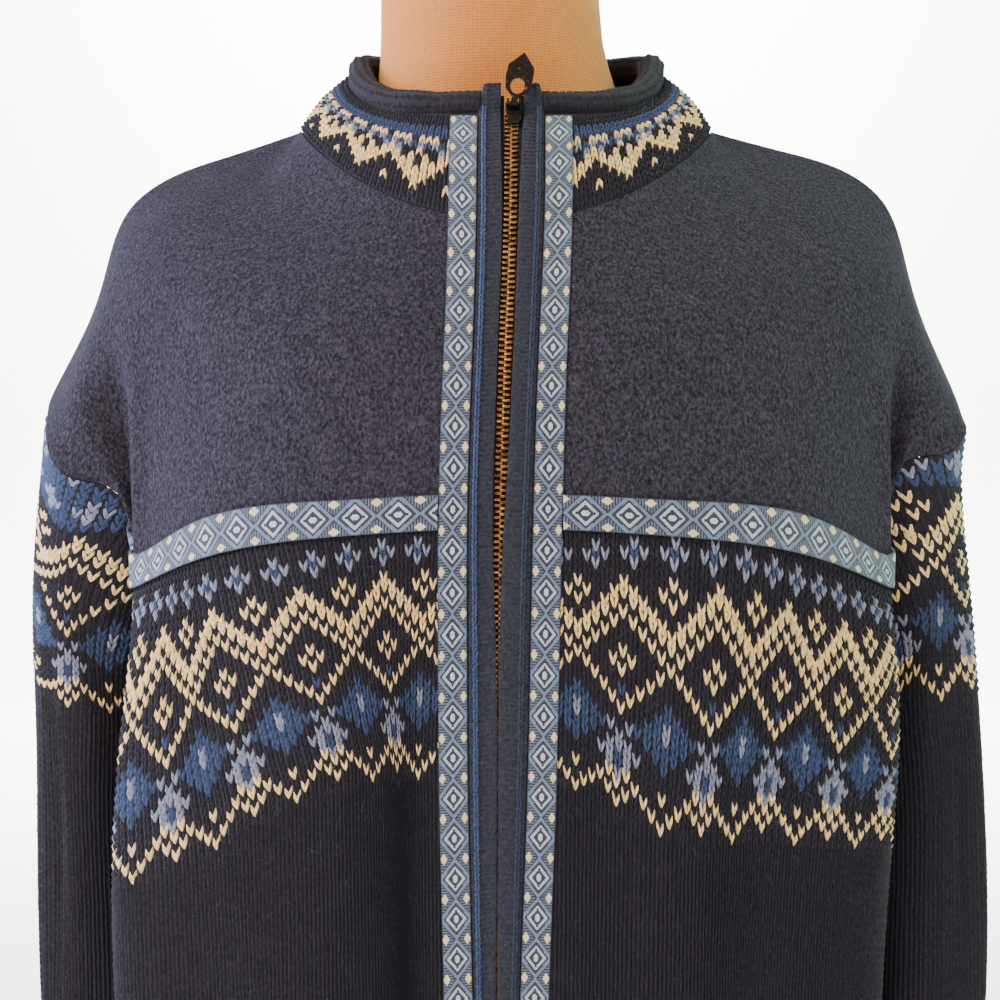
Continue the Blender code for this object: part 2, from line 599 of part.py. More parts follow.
def build_sleeves(front, back, knit):
    downs = SLEEVE_END * np.linspace(0, 1, SLEEVE_ROWS + 1) ** SLEEVE_CROWDING
    for side, word in ((-1, "left"), (1, "right")):
        points, out, turn = armhole_ring(front, back, side)
        grid = sleeve_surface(points, turn, side, downs)
        normals = grid_normals(grid, side)
        push = relief(SLEEVE_FOLDS, turn[None, :] / math.pi, downs[:, None])
        grid = grid + normals * push[..., None]
        # At the armhole the sleeve carries on the yoke's surface where the two are in line.
        in_line = np.clip((normals[0] * out).sum(axis=-1, keepdims=True), 0, 1)
        normals[0] = unit(normals[0] * (1 - in_line) + out * in_line)
        away = unit(grid[1] - grid[0])
        aside = np.array([side * SLEEVE_ASIDE, 0, 0]) * (1 - in_line)
        grid[0] = grid[0] + unit(away + aside) * ARMHOLE_GAP
        wall(f"sleeve_{word}", grid, grid - normals * KNIT, knit, closed=True)


class Collar:
    """The patterned band: share runs from 0 at its foot on the shoulders to 1 under the roll."""

    def top(self, turn):
        foot, roll = ring_point(COLLAR_FOOT, turn), ring_point(ROLL_CENTRE, turn)
        way = unit(foot - roll)
        out = self.leaning(turn)
        return roll + way * (ROLL_RADIUS + COLLAR_GAP) + out * COLLAR_KNIT / 2

    @staticmethod
    def leaning(turn):
        """A direction square to the band, out and up."""
        turn = np.asarray(turn, float)
        step = 0.01
        around = ring_point(COLLAR_FOOT, turn + step) - ring_point(COLLAR_FOOT, turn - step)
        up = ring_point(ROLL_CENTRE, turn) - ring_point(COLLAR_FOOT, turn)
        return unit(np.cross(around, up))

    def point(self, turn, share):
        turn, share = np.broadcast_arrays(np.asarray(turn, float), np.asarray(share, float))
        foot, top = ring_point(COLLAR_FOOT, turn), self.top(turn)
        bulge = COLLAR_BULGE * np.sin(math.pi * np.clip(share, 0, 1))
        return foot + (top - foot) * share[..., None] + self.leaning(turn) * bulge[..., None]

    def normal(self, turn, share):
        step = 0.01
        around = self.point(turn + step, share) - self.point(turn - step, share)
        along = self.point(turn, share + step) - self.point(turn, share - step)
        return unit(np.cross(around, along))

    def turn_at(self, x, share):
        """The turn near the front at which the band stands this far to the side."""
        tries = np.linspace(-0.6, 0.6, 121)
        return np.array([
            np.interp(a, self.point(tries, np.full_like(tries, s))[:, 0], tries)
            for a, s in zip(x, share)
        ])


def band_height(collar):
    return float(np.linalg.norm(collar.point(0.0, 1.0) - collar.point(0.0, 0.0)))


def front_line(front, collar, x, down):
    """Points and normals down the front at these distances to the side; down is negative on the
    collar band and on the stretch that the plackets run up past it."""
    height = band_height(collar)
    x, down = np.asarray(x, float), np.asarray(down, float)
    share = np.clip(-down / height, 0, 1)
    turn = collar.turn_at(x, share)
    on_band, band_out = collar.point(turn, share), collar.normal(turn, share)
    past = np.clip(-down - height, 0, None)[:, None]
    on_band = on_band + past * np.array([0, PLACKET_LEAN, 1.0])
    blend = np.clip(past / PLACKET_TURN, 0, 1)
    band_out = unit(band_out * (1 - blend) + np.array([0, -1.0, 0]) * blend)
    below = np.maximum(down, 0)
    across = front.across_at(x, below)
    on_panel, panel_out = front.point(across, below), front.normal(across, below)
    # The two meet at the band's foot in a soft bend.
    mix = np.clip(0.5 - down / FOOT_BEND, 0, 1)[:, None]
    out = unit(panel_out * (1 - mix) + band_out * mix)
    return np.where(down[:, None] < 0, on_band, on_panel), out


def strip(name, front, collar, downs, edges, heights, material):
    """A strip down the front. edges are columns of x, and heights (outer, inner) over the panel."""
    outer, inner = [], []
    for x, (high, low) in zip(edges, heights):
        points, out = front_line(front, collar, x, downs)
        outer.append(points + out * np.broadcast_to(high, downs.shape)[:, None])
        inner.append(points + out * np.broadcast_to(low, downs.shape)[:, None])
    return wall(name, np.stack(outer, axis=1), np.stack(inner, axis=1), material)


def build_collar(front, back, collar, knit, plain):
    height = band_height(collar)
    shares = np.linspace(0, 1, 5)
    ends = []
    for side in (-1, 1):
        x = closure_x(-shares * height, side, "half") + side * SEAM_GAP
        ends.append(collar.turn_at(x, shares))
    # Its columns are the yoke's own, so that the two keep their gap along the whole neckline.
    quarter = math.pi / 2
    turn = np.array([
        np.concatenate([
            np.linspace(first, quarter, NECK_COLUMNS + 1)[:-1],
            np.linspace(quarter, 3 * quarter, 2 * NECK_COLUMNS + 1),
            np.linspace(3 * quarter, 4 * quarter + last, NECK_COLUMNS + 1)[1:],
        ])
        for last, first in zip(*ends)
    ])
    share = np.broadcast_to(shares[:, None], turn.shape)
    outer, out = collar.point(turn, share), collar.normal(turn, share)
    # The band's foot keeps its gap to the yoke, and its rim there turns towards the yoke's own.
    on_front = np.cos(turn[0]) > 0
    from_middle = np.where(on_front, (turn[0] + math.pi) % (2 * math.pi) - math.pi, math.pi - turn[0])
    across = NECK_ACROSS * from_middle / quarter
    yoke_out = np.where(on_front[:, None], front.normal(across, 0), back.normal(across, 0))
    up = unit(collar.point(turn[0], share[0] + 0.05) - outer[0])
    outer[0] = outer[0] + up * COLLAR_GAP
    out[0] = unit(out[0] + yoke_out)
    wall("collar_band", outer, outer - out * COLLAR_KNIT, knit)
    build_roll(turn[-1], plain)


def build_roll(turn, plain):
    """The rolled edge: round sections along the ring, capped where it meets the plackets."""
    for side, end in ((-1, -1), (1, 0)):
        placket = closure_x(CLOSURE[0].down, side, "half")
        turn[end] = math.asin((placket + side * ROLL_END_GAP) / ROLL_CENTRE.half_width)
    turn[-1] += 2 * math.pi
    centre = ring_point(ROLL_CENTRE, turn)
    along = unit(np.gradient(centre, axis=0))
    # Its ends face the plackets squarely.
    along[0], along[-1] = (1, 0, 0), (1, 0, 0)
    up = np.array([0, 0, 1.0])
    side = unit(np.cross(along, up))
    over = np.cross(side, along)
    rings = []
    for c, s, o in zip(centre, side, over):
        angles = np.linspace(0, 2 * math.pi, 9)[:-1]
        rings.append([c + ROLL_RADIUS * (math.cos(a) * s + math.sin(a) * o) for a in angles])
    solid_of_rings("collar_roll", rings, plain)


def build_closure(front, collar, fine_knit, braid, tape):
    height = band_height(collar)
    top = -(height + PLACKET_TOP)
    band_downs = np.linspace(-height, 0, 5)
    placket_downs = np.concatenate([np.linspace(top, -height, 4), band_downs[1:], panel_downs()[1:]])
    ribbon_downs = np.concatenate([[RIBBON_TOP - height], band_downs[1:], panel_downs()[1:]])
    tape_downs = np.concatenate([[top + TAPE_TOP], band_downs, panel_downs()[1:-1], [HEM - TAPE_FOOT]])
    for side, word in ((-1, "left"), (1, "right")):
        gap = "gap_left" if side < 0 else "gap_right"
        inner = closure_x(placket_downs, side, gap)
        outer = closure_x(placket_downs, side, "half")
        # Each placket's top corner is rounded off on its outer side.
        rounding = np.clip((placket_downs - top) / PLACKET_TOP, 0, 1)
        outer = inner + (outer - inner) * (PLACKET_TIP + (1 - PLACKET_TIP) * np.sqrt(rounding))
        raised, low = PLACKET_RAISED, PLACKET_RAISED - PLACKET
        profile = ((0.0, raised * 0.5), (0.10, raised), (0.62, raised), (0.74, raised + PLACKET_RIDGE),
                   (0.86, raised), (1.0, raised * 0.4))
        strip(f"placket_{word}", front, collar, placket_downs,
              [inner + (outer - inner) * share for share, _ in profile],
              [(high, low) for _, high in profile], fine_knit)
        start = closure_x(ribbon_downs, side, "half") + side * SEAM_GAP
        strip(f"ribbon_front_{word}", front, collar, ribbon_downs,
              [start + side * RIBBON_FRONT_WIDTH * share for share in (0, 0.5, 1)],
              [(SEAM_GAP + RIBBON, SEAM_GAP)] * 3, braid)
        middle = table_at(CLOSURE, "middle", tape_downs)
        near = CHAIN_HALF_WIDTH + SEAM_GAP
        far = np.minimum(near + TAPE_WIDTH, table_at(CLOSURE, "half", tape_downs) - SEAM_GAP)
        under = PLACKET_RAISED - PLACKET - SEAM_GAP
        strip(f"zip_tape_{word}", front, collar, tape_downs,
              [middle + side * near, middle + side * far], [(under, under - TAPE)] * 2, tape)


def chain_recess(down):
    """How far the chain's face lies under the panel's face."""
    share = np.clip((down - CHAIN_COVER_START) / CHAIN_COVER_LENGTH, 0, 1)
    eased = share**2 * (3 - 2 * share)
    return CHAIN_RECESS_OPEN + (CHAIN_RECESS_COVERED - CHAIN_RECESS_OPEN) * eased


def build_chain(front, collar, metal):
    top = -(band_height(collar) + PLACKET_TOP - CHAIN_TOP)
    band_downs = np.linspace(-band_height(collar), 0, 5)
    downs = np.concatenate([[top], band_downs, panel_downs()[1:-1], [HEM - CHAIN_FOOT]])
    middle = table_at(CLOSURE, "middle", downs)
    face = -chain_recess(downs)
    strip("zip_chain", front, collar, downs,
          [middle + CHAIN_HALF_WIDTH * share for share in (-1, 1)],
          [(face, face - CHAIN_THICKNESS)] * 2, metal)
    # The retainer box closes the zip's foot, just under the last teeth.
    foot = np.array([HEM - BOX_RISE])
    points, out = front_line(front, collar, table_at(CLOSURE, "middle", foot), foot)
    box = bmesh.new()
    bmesh.ops.create_cube(box, size=1.0)
    bmesh.ops.scale(box, vec=Vector(BOX_SIZE), verts=box.verts)
    bmesh.ops.bevel(box, geom=box.edges[:], offset=BOX_BEVEL, segments=1, affect="EDGES")
    mesh = bpy.data.meshes.new("zip_box")
    box.to_mesh(mesh)
    box.free()
    made = new_object("zip_box", mesh, metal)
    sunk = PLACKET - PLACKET_RAISED + SEAM_GAP + BOX_SIZE[1] / 2
    made.location = Vector(points[0] - out[0] * sunk)


def plate(name, outline, window, thickness):
    """A flat plate in the XZ plane, pierced by a window with as many corners as its outline."""
    count = len(outline)
    vertices = []
    for y in (-thickness / 2, thickness / 2):
        vertices += [(x, y, z) for x, z in outline]
        vertices += [(x, y, z) for x, z in window]
    faces = []
    for i in range(count):
        n = (i + 1) % count
        faces.append((i, n, count + n, count + i))
        faces.append((2 * count + n, 2 * count + i, 3 * count + i, 3 * count + n))
        faces.append((n, i, 2 * count + i, 2 * count + n))
        faces.append((count + i, count + n, 3 * count + n, 3 * count + i))
    return mesh_of(name, vertices, faces)


def rod(name, radius, length, sides=14):
    """A round rod along X about the origin."""
    shape = bmesh.new()
    turned = Matrix.Rotation(math.pi / 2, 4, "Y")
    bmesh.ops.create_cone(shape, cap_ends=True, segments=sides, radius1=radius, radius2=radius,
                          depth=length, matrix=turned)
    mesh = bpy.data.meshes.new(name)
    shape.to_mesh(mesh)
    shape.free()
    return mesh


def cutter(name, mesh, parent):
    """A helper shape for a Boolean, left out of the part."""
    made = bpy.data.objects.new(name, mesh)
    bpy.context.collection.objects.link(made)
    made.parent = parent
    made.hide_render = True
    made.display_type = "WIRE"
    return made


def join(target, helper, name):
    union = target.modifiers.new(name, "BOOLEAN")
    union.operation = "UNION"
    union.solver = "EXACT"
    union.object = helper


def block_mesh(name, size, centre=(0, 0, 0)):
    shape = bmesh.new()
    bmesh.ops.create_cube(shape, size=1.0)
    bmesh.ops.scale(shape, vec=Vector(size), verts=shape.verts)
    bmesh.ops.translate(shape, vec=Vector(centre), verts=shape.verts)
    mesh = bpy.data.meshes.new(name)
    shape.to_mesh(mesh)
    shape.free()
    return mesh


def build_slider(front, collar, metal):
    """The slider stays where it is; its pull tab turns on a pin between the slider's ears."""
    w, h = SLIDER_HALF_WIDTH, SLIDER_HALF_HEIGHT
    downs = SLIDER_DOWN + np.array([-h, 0, h])
    points, _ = front_line(front, collar, np.full(3, SLIDER_X), downs)
    top, middle, foot = (Vector(point) for point in points)
    lean = math.atan2(top.y - foot.y, top.z - foot.z)  # it lies along the chain
    turned = Matrix.Rotation(-lean, 4, "X")
    middle = (top + 2 * middle + foot) / 4 + turned @ Vector((0, -SLIDER_LIFT - SLIDER_PLATE / 2, 0))
    outline = [(-w, h * 0.75), (-w * 0.6, h), (w * 0.6, h), (w, h * 0.75),
               (w * 0.7, -h * 0.8), (w * 0.4, -h), (-w * 0.4, -h), (-w * 0.7, -h * 0.8)]
    vertices = [(x, y, z) for y in (-SLIDER_PLATE / 2, SLIDER_PLATE / 2) for x, z in outline]
    count = len(outline)
    faces = [tuple(range(count)), tuple(range(2 * count - 1, count - 1, -1))]
    faces += [(i, (i + 1) % count, count + (i + 1) % count, count + i) for i in range(count)]
    slider = new_object("zip_slider", mesh_of("zip_slider", vertices, faces), metal)
    slider.matrix_world = Matrix.Translation(middle) @ turned
    reach = HINGE_RISE + PIN_RADIUS + EAR_RIM
    for side, word in ((-1, "left"), (1, "right")):
        size = (EAR_THICKNESS, reach, 2 * EAR_HALF_HEIGHT)
        x = side * (EAR_GAP + EAR_THICKNESS / 2)
        ear = cutter(f"ear_{word}", block_mesh("ear", size, (x, -reach / 2, HINGE_HEIGHT)), slider)
        join(slider, ear, f"ear_{word}")
    return middle + turned @ Vector((0, -SLIDER_PLATE / 2 - HINGE_RISE + PIN_RADIUS, HINGE_HEIGHT))


def build_pull(pivot, metal):
    half = [(.0017, .0004), (.0017, .0034), (.0058, .0070), (.0068, .0125), (.0066, .0190), (0, .0262)]
    inner = [(.0009, .0048), (.0026, .0060), (.0036, .0078), (.0036, .0100), (.0026, .0122), (0, .0134)]
    outline, window = ([*line, *((-x, z) for x, z in reversed(line[:-1]))] for line in (half, inner))
    turned = Matrix.Rotation(TAB_TILT, 4, "Y") @ Matrix.Rotation(-TAB_BACK, 4, "X")
    mesh = plate("zip_pull", outline, window, TAB_THICKNESS)
    mesh.transform(turned)
    pull = new_object("zip_pull", mesh, metal)
    pull.location = pivot
    barrel = cutter("barrel", rod("barrel", PIN_RADIUS, 2 * (EAR_GAP - SEAM_GAP)), pull)
    join(pull, barrel, "barrel")


def cloth_tree():
    """A search tree over every piece made so far."""
    vertices, faces = [], []
    for thing in bpy.data.objects:
        if thing.type != "MESH" or thing.hide_render:
            continue
        start = len(vertices)
        vertices += [tuple(thing.matrix_basis @ v.co) for v in thing.data.vertices]
        faces += [tuple(start + v for v in face.vertices) for face in thing.data.polygons]
    return BVHTree.FromPolygons(vertices, faces)


def build_form(linen):
    """The dress form: oval rings, drawn in wherever the cloth lies closer than its own size."""
    around = cloth_tree()
    turns = [2 * math.pi * i / FORM_COLUMNS for i in range(FORM_COLUMNS)]
    rings = []
    for row in FORM_RINGS:
        axis = Vector((row.shift, 0, row.z))
        depths = [row.front if math.cos(turn) > 0 else row.back for turn in turns]
        rings.append([
            axis + Vector((row.half_width * math.sin(turn), -depth * math.cos(turn), 0))
            for turn, depth in zip(turns, depths)
        ])

    def excess(place, axis_x):
        """How far a place on the form reaches past its clearance from the cloth, and the way out."""
        axis = Vector((axis_x, 0, place.z))
        way = place - axis
        hit = around.ray_cast(axis, way.normalized(), 0.5)
        return (way.length - hit[3] + FORM_CLEAR if hit[0] else -1.0), way.normalized()

    for _ in range(FORM_PASSES):
        for r, row in enumerate(FORM_RINGS):
            above = min(r + 1, len(rings) - 1)
            for c in range(FORM_COLUMNS):
                n = (c + 1) % FORM_COLUMNS
                for pair in (((r, c),), ((r, c), (r, n)), ((r, c), (above, c)),
                             ((r, c), (above, n)), ((r, n), (above, c)),
                             ((r, c), (r, n), (above, n)), ((r, c), (above, n), (above, c))):
                    places = [rings[i][j] for i, j in pair]
                    middle = sum(places, Vector()) / len(places)
                    over, way = excess(middle, row.shift)
                    if over > 0:
                        for i, j in pair:
                            rings[i][j] = rings[i][j] - way * over
    return solid_of_rings("form_torso", rings, linen)


def turned_solid(name, profile, sides, material):
    """A round solid from (height, radius) rows."""
    rings = []
    for height, radius in profile:
        turns = [2 * math.pi * i / sides for i in range(sides)]
        rings.append([(radius * math.cos(t), radius * math.sin(t), height) for t in turns])
    return solid_of_rings(name, rings, material)


def build_stand(metal):
    rim, edge = BASE_RADIUS, BASE_EDGE
    profile = ((0, rim - edge), (edge, rim), (BASE_HEIGHT - 2 * edge, rim),
               (BASE_HEIGHT - edge, rim - edge), (BASE_HEIGHT, rim - 4 * edge))
    turned_solid("stand_base", profile, BASE_SIDES, metal)
    foot = CHEST_LEVEL + FORM_RINGS[0].z
    pole = ((BASE_HEIGHT + SEAM_GAP, POLE_RADIUS), (foot - SEAM_GAP, POLE_RADIUS))
    turned_solid("stand_pole", pole, POLE_SIDES, metal)


def build_yoke_ribbons(front, back, braid):
    """The braid over the yoke seam, in the panels' own rows, so that it dips with the cloth."""
    downs = np.array([RIBBON_YOKE_TOP, YOKE_FOOT, RIBBON_YOKE_FOOT])
    pieces = [("ribbon_yoke_back", back, np.full(3, -1), np.full(3, 1), slice(1, -1))]
    for side, word in ((-1, "left"), (1, "right")):
        x = closure_x(downs, side, "half") + side * (RIBBON_FRONT_WIDTH + 2 * SEAM_GAP)
        inner, outer = front.across_at(x, downs), np.full(3, side)
        ends = (outer, inner, slice(1, None)) if side < 0 else (inner, outer, slice(None, -1))
        pieces.append((f"ribbon_yoke_{word}", front, *ends))
    for name, panel, start, end, kept in pieces:
        across, down = (grid[:, kept] for grid in panel_grid(panel, start, end, downs))
        points, out = panel.point(across, down), panel.normal(across, down)
        wall(name, points + out * (RIBBON_YOKE_LIFT + RIBBON), points + out * RIBBON_YOKE_LIFT, braid)


def main():
    clear_scene()
    felt = finish("felted_wool", (0.020, 0.019, 0.034), 0.95)
    knit = finish("dark_knit", (0.012, 0.012, 0.020), 0.92)
    pattern = finish("patterned_knit", (0.050, 0.060, 0.110), 0.92)
    fine_knit = finish("fine_knit", (0.010, 0.012, 0.024), 0.90)
    braid = finish("woven_ribbon", (0.080, 0.140, 0.260), 0.70)
    tape = finish("zip_tape", (0.012, 0.014, 0.026), 0.80)
    brass = finish("antique_brass", (0.300, 0.180, 0.090), 0.35, 1.0)
    linen = finish("linen", (0.740, 0.560, 0.360), 0.85)
    steel = finish("dark_steel", (0.060, 0.060, 0.065), 0.40, 1.0)

    front = Panel(FRONT_SECTIONS, -1, FRONT_FOLDS)
    back = Panel(BACK_SECTIONS, 1, BACK_FOLDS)
    collar = Collar()
    build_panels(front, back, felt, knit)
    build_sleeves(front, back, knit)
    build_collar(front, back, collar, pattern, fine_knit)
    build_closure(front, collar, fine_knit, braid, tape)
    build_yoke_ribbons(front, back, braid)
    build_chain(front, collar, brass)
    build_pull(build_slider(front, collar, brass), brass)
    build_form(linen)

    chest_line = bpy.data.objects.new("chest_line", None)
    bpy.context.collection.objects.link(chest_line)
    chest_line.location = (0, 0, CHEST_LEVEL)
    for thing in bpy.data.objects:
        if thing.type == "MESH" and thing.parent is None:
            thing.parent = chest_line
    build_stand(steel)


main()
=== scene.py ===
import math
from collections import namedtuple

import bmesh
import bpy
import numpy as np
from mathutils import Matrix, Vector


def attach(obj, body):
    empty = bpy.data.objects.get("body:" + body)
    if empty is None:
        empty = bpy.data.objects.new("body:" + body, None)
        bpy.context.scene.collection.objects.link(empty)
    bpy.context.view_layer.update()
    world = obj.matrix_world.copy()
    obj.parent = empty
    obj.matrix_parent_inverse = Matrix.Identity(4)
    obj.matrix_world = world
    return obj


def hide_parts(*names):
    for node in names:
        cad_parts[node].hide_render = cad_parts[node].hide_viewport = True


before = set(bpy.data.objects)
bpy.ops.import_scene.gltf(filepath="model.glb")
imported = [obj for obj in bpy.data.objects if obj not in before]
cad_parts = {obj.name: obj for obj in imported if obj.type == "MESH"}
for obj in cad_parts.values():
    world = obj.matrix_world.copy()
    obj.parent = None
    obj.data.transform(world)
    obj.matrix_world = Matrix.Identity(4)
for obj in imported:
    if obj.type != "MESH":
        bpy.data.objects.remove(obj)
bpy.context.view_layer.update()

# ------------------------------
# Studio. A pale sweep that turns up far behind the stand, soft boxes on both sides and a level
# camera at chest height, as the photograph was taken. The left light is cool, the right green.
camera = bpy.data.objects.new("camera", bpy.data.cameras.new("camera"))
bpy.context.collection.objects.link(camera)
camera.location = (-0.0033, -1.045, 0.620)
camera.rotation_euler = (math.pi / 2, 0, 0)
camera.data.lens = 69.5
camera.data.sensor_width = 36
bpy.context.scene.camera = camera

SWEEP_FRONT, SWEEP_BACK, SWEEP_HALF_WIDTH, SWEEP_HEIGHT = -6.0, 6.0, 7.0, 6.5
SWEEP_RADIUS = 0.9
turn_y = SWEEP_BACK - SWEEP_RADIUS
sweep_line = [(SWEEP_FRONT, 0.0), (turn_y, 0.0)]
sweep_line += [(turn_y + SWEEP_RADIUS * math.sin(a), SWEEP_RADIUS * (1 - math.cos(a)))
               for a in np.linspace(0.1, math.pi / 2, 14)]
sweep_line += [(SWEEP_BACK, SWEEP_HEIGHT)]
sweep_mesh = bpy.data.meshes.new("floor_sweep")
sweep_mesh.from_pydata(
    [(x, y, z) for x in (-SWEEP_HALF_WIDTH, SWEEP_HALF_WIDTH) for y, z in sweep_line], [],
    [(i, i + 1, len(sweep_line) + i + 1, len(sweep_line) + i) for i in range(len(sweep_line) - 1)])
sweep_mesh.shade_smooth()
sweep = bpy.data.objects.new("floor_sweep", sweep_mesh)
bpy.context.collection.objects.link(sweep)
sweep_paint = bpy.data.materials.new("pale_floor")
sweep_paint.use_nodes = True
paint = sweep_paint.node_tree.nodes["Principled BSDF"].inputs
paint["Base Color"].default_value = (0.97, 0.97, 0.97, 1)
paint["Roughness"].default_value = 0.9
sweep_mesh.materials.append(sweep_paint)

SoftBox = namedtuple("SoftBox", "place aim size watts colour")
SOFT_BOXES = (
    SoftBox((-1.3, -1.5, 1.9), (0, -0.05, 0.62), 0.9, 60, (1.0, 0.97, 0.93)),
    SoftBox((1.6, -1.9, 1.1), (0, -0.05, 0.62), 1.2, 14, (1.0, 0.90, 0.82)),
    SoftBox((-1.5, 0.15, 1.1), (-0.15, 0, 0.68), 0.8, 64, (0.56, 0.66, 1.0)),
    SoftBox((1.3, 0.15, 1.6), (0.18, 0, 0.74), 0.8, 26, (0.42, 1.0, 0.72)),
    SoftBox((0, 3.6, 3.6), (0, 6.0, 1.0), 2.6, 1500, (1.0, 0.985, 0.96)),
)
for number, box in enumerate(SOFT_BOXES):
    lamp = bpy.data.lights.new(f"soft_box_{number}", "AREA")
    lamp.shape, lamp.size, lamp.energy, lamp.color = "SQUARE", box.size, box.watts, box.colour
    stand = bpy.data.objects.new(lamp.name, lamp)
    bpy.context.collection.objects.link(stand)
    stand.location = box.place
    way = Vector(box.aim) - Vector(box.place)
    stand.rotation_euler = way.to_track_quat("-Z", "Y").to_euler()
world = bpy.data.worlds.new("studio")
bpy.context.scene.world = world
world.use_nodes = True
daylight = world.node_tree.nodes["Background"].inputs
daylight["Color"].default_value = (1, 1, 1, 1)
daylight["Strength"].default_value = 0.86


# ------------------------------
# Dress form and stand. The form is a hollow shell covered in pale, finely woven linen; it is
# set on a round steel pole that is screwed into a weighted base with a satin black finish.
def operator(operation):
    """A method of Socket that adds the Math node for this operation."""
    return lambda self, *others: self.math(operation, *others)


class Socket:
    """An output of a material's node. Sums and comparisons on it add the Math nodes for them."""

    def __init__(self, finish, output):
        self.finish, self.output = finish, output

    def math(self, operation, *others):
        return self.finish.add("Math", {"operation": operation}, dict(enumerate((self, *others))))

    def __rsub__(self, other):
        return self.finish.add("Math", {"operation": "SUBTRACT"}, {0: other, 1: self})

    def rise(self, low, high):
        """0 under low, 1 over high, and a soft step between."""
        return self.finish.add("MapRange", {"interpolation_type": "SMOOTHSTEP"},
                               {"Value": self, "From Min": low, "From Max": high})

    __add__ = __radd__ = operator("ADD")
    __sub__ = operator("SUBTRACT")
    __mul__ = __rmul__ = operator("MULTIPLY")
    __truediv__ = operator("DIVIDE")
    __lt__ = operator("LESS_THAN")
    __gt__ = operator("GREATER_THAN")
    __and__ = operator("MINIMUM")
    __or__ = operator("MAXIMUM")
    __abs__ = operator("ABSOLUTE")
    fraction = operator("FRACT")
    sine = operator("SINE")


class Finish:
    """A material under construction; add() makes every node in it."""

    def __init__(self, name, roughness=0.9, **fixed):
        self.material = bpy.data.materials.new(name)
        self.material.use_nodes = True
        self.tree = self.material.node_tree
        self.shader = self.tree.nodes["Principled BSDF"]
        self.set("Roughness", roughness)
        for key, value in fixed.items():
            self.set(key.replace("_", " "), value)

    def set(self, name, value):
        socket = self.shader.inputs[name]
        if isinstance(value, Socket):
            self.tree.links.new(value.output, socket)
        else:
            socket.default_value = value

    def add(self, kind, settings=None, sockets=None, out=0):
        node = self.tree.nodes.new("ShaderNode" + kind)
        for key, value in (settings or {}).items():
            setattr(node, key, value)
        for key, value in (sockets or {}).items():
            if isinstance(value, Socket):
                self.tree.links.new(value.output, node.inputs[key])
            else:
                node.inputs[key].default_value = value
        return Socket(self, node.outputs[out])

    def place(self):
        return self.add("TexCoord", out="Object")

    def parts(self, vector):
        return [self.add("SeparateXYZ", None, {0: vector}, out) for out in range(3)]

    def noise(self, scale, detail=3.0, stretch=None, roughness=0.55):
        where = self.place()
        if stretch:
            where = self.add("VectorMath", {"operation": "MULTIPLY"}, {0: where, 1: stretch})
        return self.add("TexNoise", None, {"Vector": where, "Scale": scale, "Detail": detail,
                                           "Roughness": roughness})

    def blend(self, first, second, share):
        """A colour between two others."""
        return self.add("Mix", {"data_type": "RGBA"}, {"Factor": share, 6: first, 7: second}, 2)

    def colour(self, value):
        self.set("Base Color", value)

    def relief(self, height, depth, strength=1.0):
        """Bumps of this depth in metres."""
        sockets = {"Height": height, "Distance": depth, "Strength": strength}
        self.set("Normal", self.add("Bump", None, sockets))
        return self


def shade(red, green, blue):
    """A colour as a screen shows it, 0 to 255, in the linear values that a shader takes."""
    return (*((v / 12.92 if v <= 0.04045 else ((v + 0.055) / 1.055) ** 2.4)
              for v in (red / 255, green / 255, blue / 255)), 1)


def refinished(name, finish):
    """The solid of this name, in this finish instead of its own."""
    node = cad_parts[name]
    node.data.materials.clear()
    node.data.materials.append(finish.material)
    return node


NECK_LEFT = 0.009  # how far left of the middle the form's neck stands
# How fast the waves of its threads run, in radians: per metre up the form, and per radian round it
WEFT, WARP = 4200, 250
linen = Finish("woven_linen", 0.88, Sheen_Weight=0.08, Specular_IOR_Level=0.25)
x, y, z = linen.parts(linen.place())
turn = linen.add("Math", {"operation": "ARCTAN2"}, {0: y, 1: x + NECK_LEFT})
weft = (z * WEFT).sine() * 0.5 + 0.5
warp = (turn * WARP).sine() * 0.5 + 0.5
threads = weft * 0.5 + warp * 0.5 + linen.noise(420, 2) * 0.7
linen.colour(linen.blend(shade(158, 88, 34), shade(200, 124, 54),
                         (threads * 0.55 + linen.noise(9, 2) * 0.45).rise(0.25, 0.95)))
linen.relief(threads, 0.00035, 0.7)
form = refinished("form_torso", linen)
form.data.shade_smooth()
form.modifiers.new("joined", "WELD").merge_threshold = 0.00002
rounder = form.modifiers.new("rounder", "SUBSURF")
rounder.levels = rounder.render_levels = 1

steel = Finish("satin_black_steel", Metallic=0.0, Specular_IOR_Level=0.5, Coat_Weight=0.25,
               Coat_Roughness=0.3)
wear = steel.noise(60, 5)
steel.colour(steel.blend(shade(28, 28, 30), shade(46, 46, 49), wear.rise(0.35, 0.7)))
steel.set("Roughness", wear * 0.25 + 0.32)
steel.relief(steel.noise(900, 3), 0.00008)
for name in ("stand_pole", "stand_base"):
    node = refinished(name, steel)
    node.data.shade_smooth()
    node.data.set_sharp_from_angle(angle=math.radians(40))

# ------------------------------
# Yoke. Boiled wool cloth, knitted loose and milled until it felts; two fronts and a back are
# seamed along the shoulder ridge and hang over the upper arm to the dropped sleeve seam.
CHEST = 0.620  # height of the chest line, over which the tables give heights
YOKE_FOOT, UNDERARM, HEM = 0.1475, 0.203, 0.590
NECK_ACROSS, CORNER_ACROSS = 0.53, 0.76
ACROSS = (0, 0.26, NECK_ACROSS, CORNER_ACROSS, 0.88, 1)
FELT = 0.0022
SEAM, YOKE_SEAM = 0.0003, 0.0008  # the gaps that stand for sewn seams
TOP_REACH = 0.060  # how far down the neckline and the shoulder ridge shape the panels
STEP_ACROSS, STEP_DOWN = 0.002, 0.0005  # the small steps that find a panel's slope

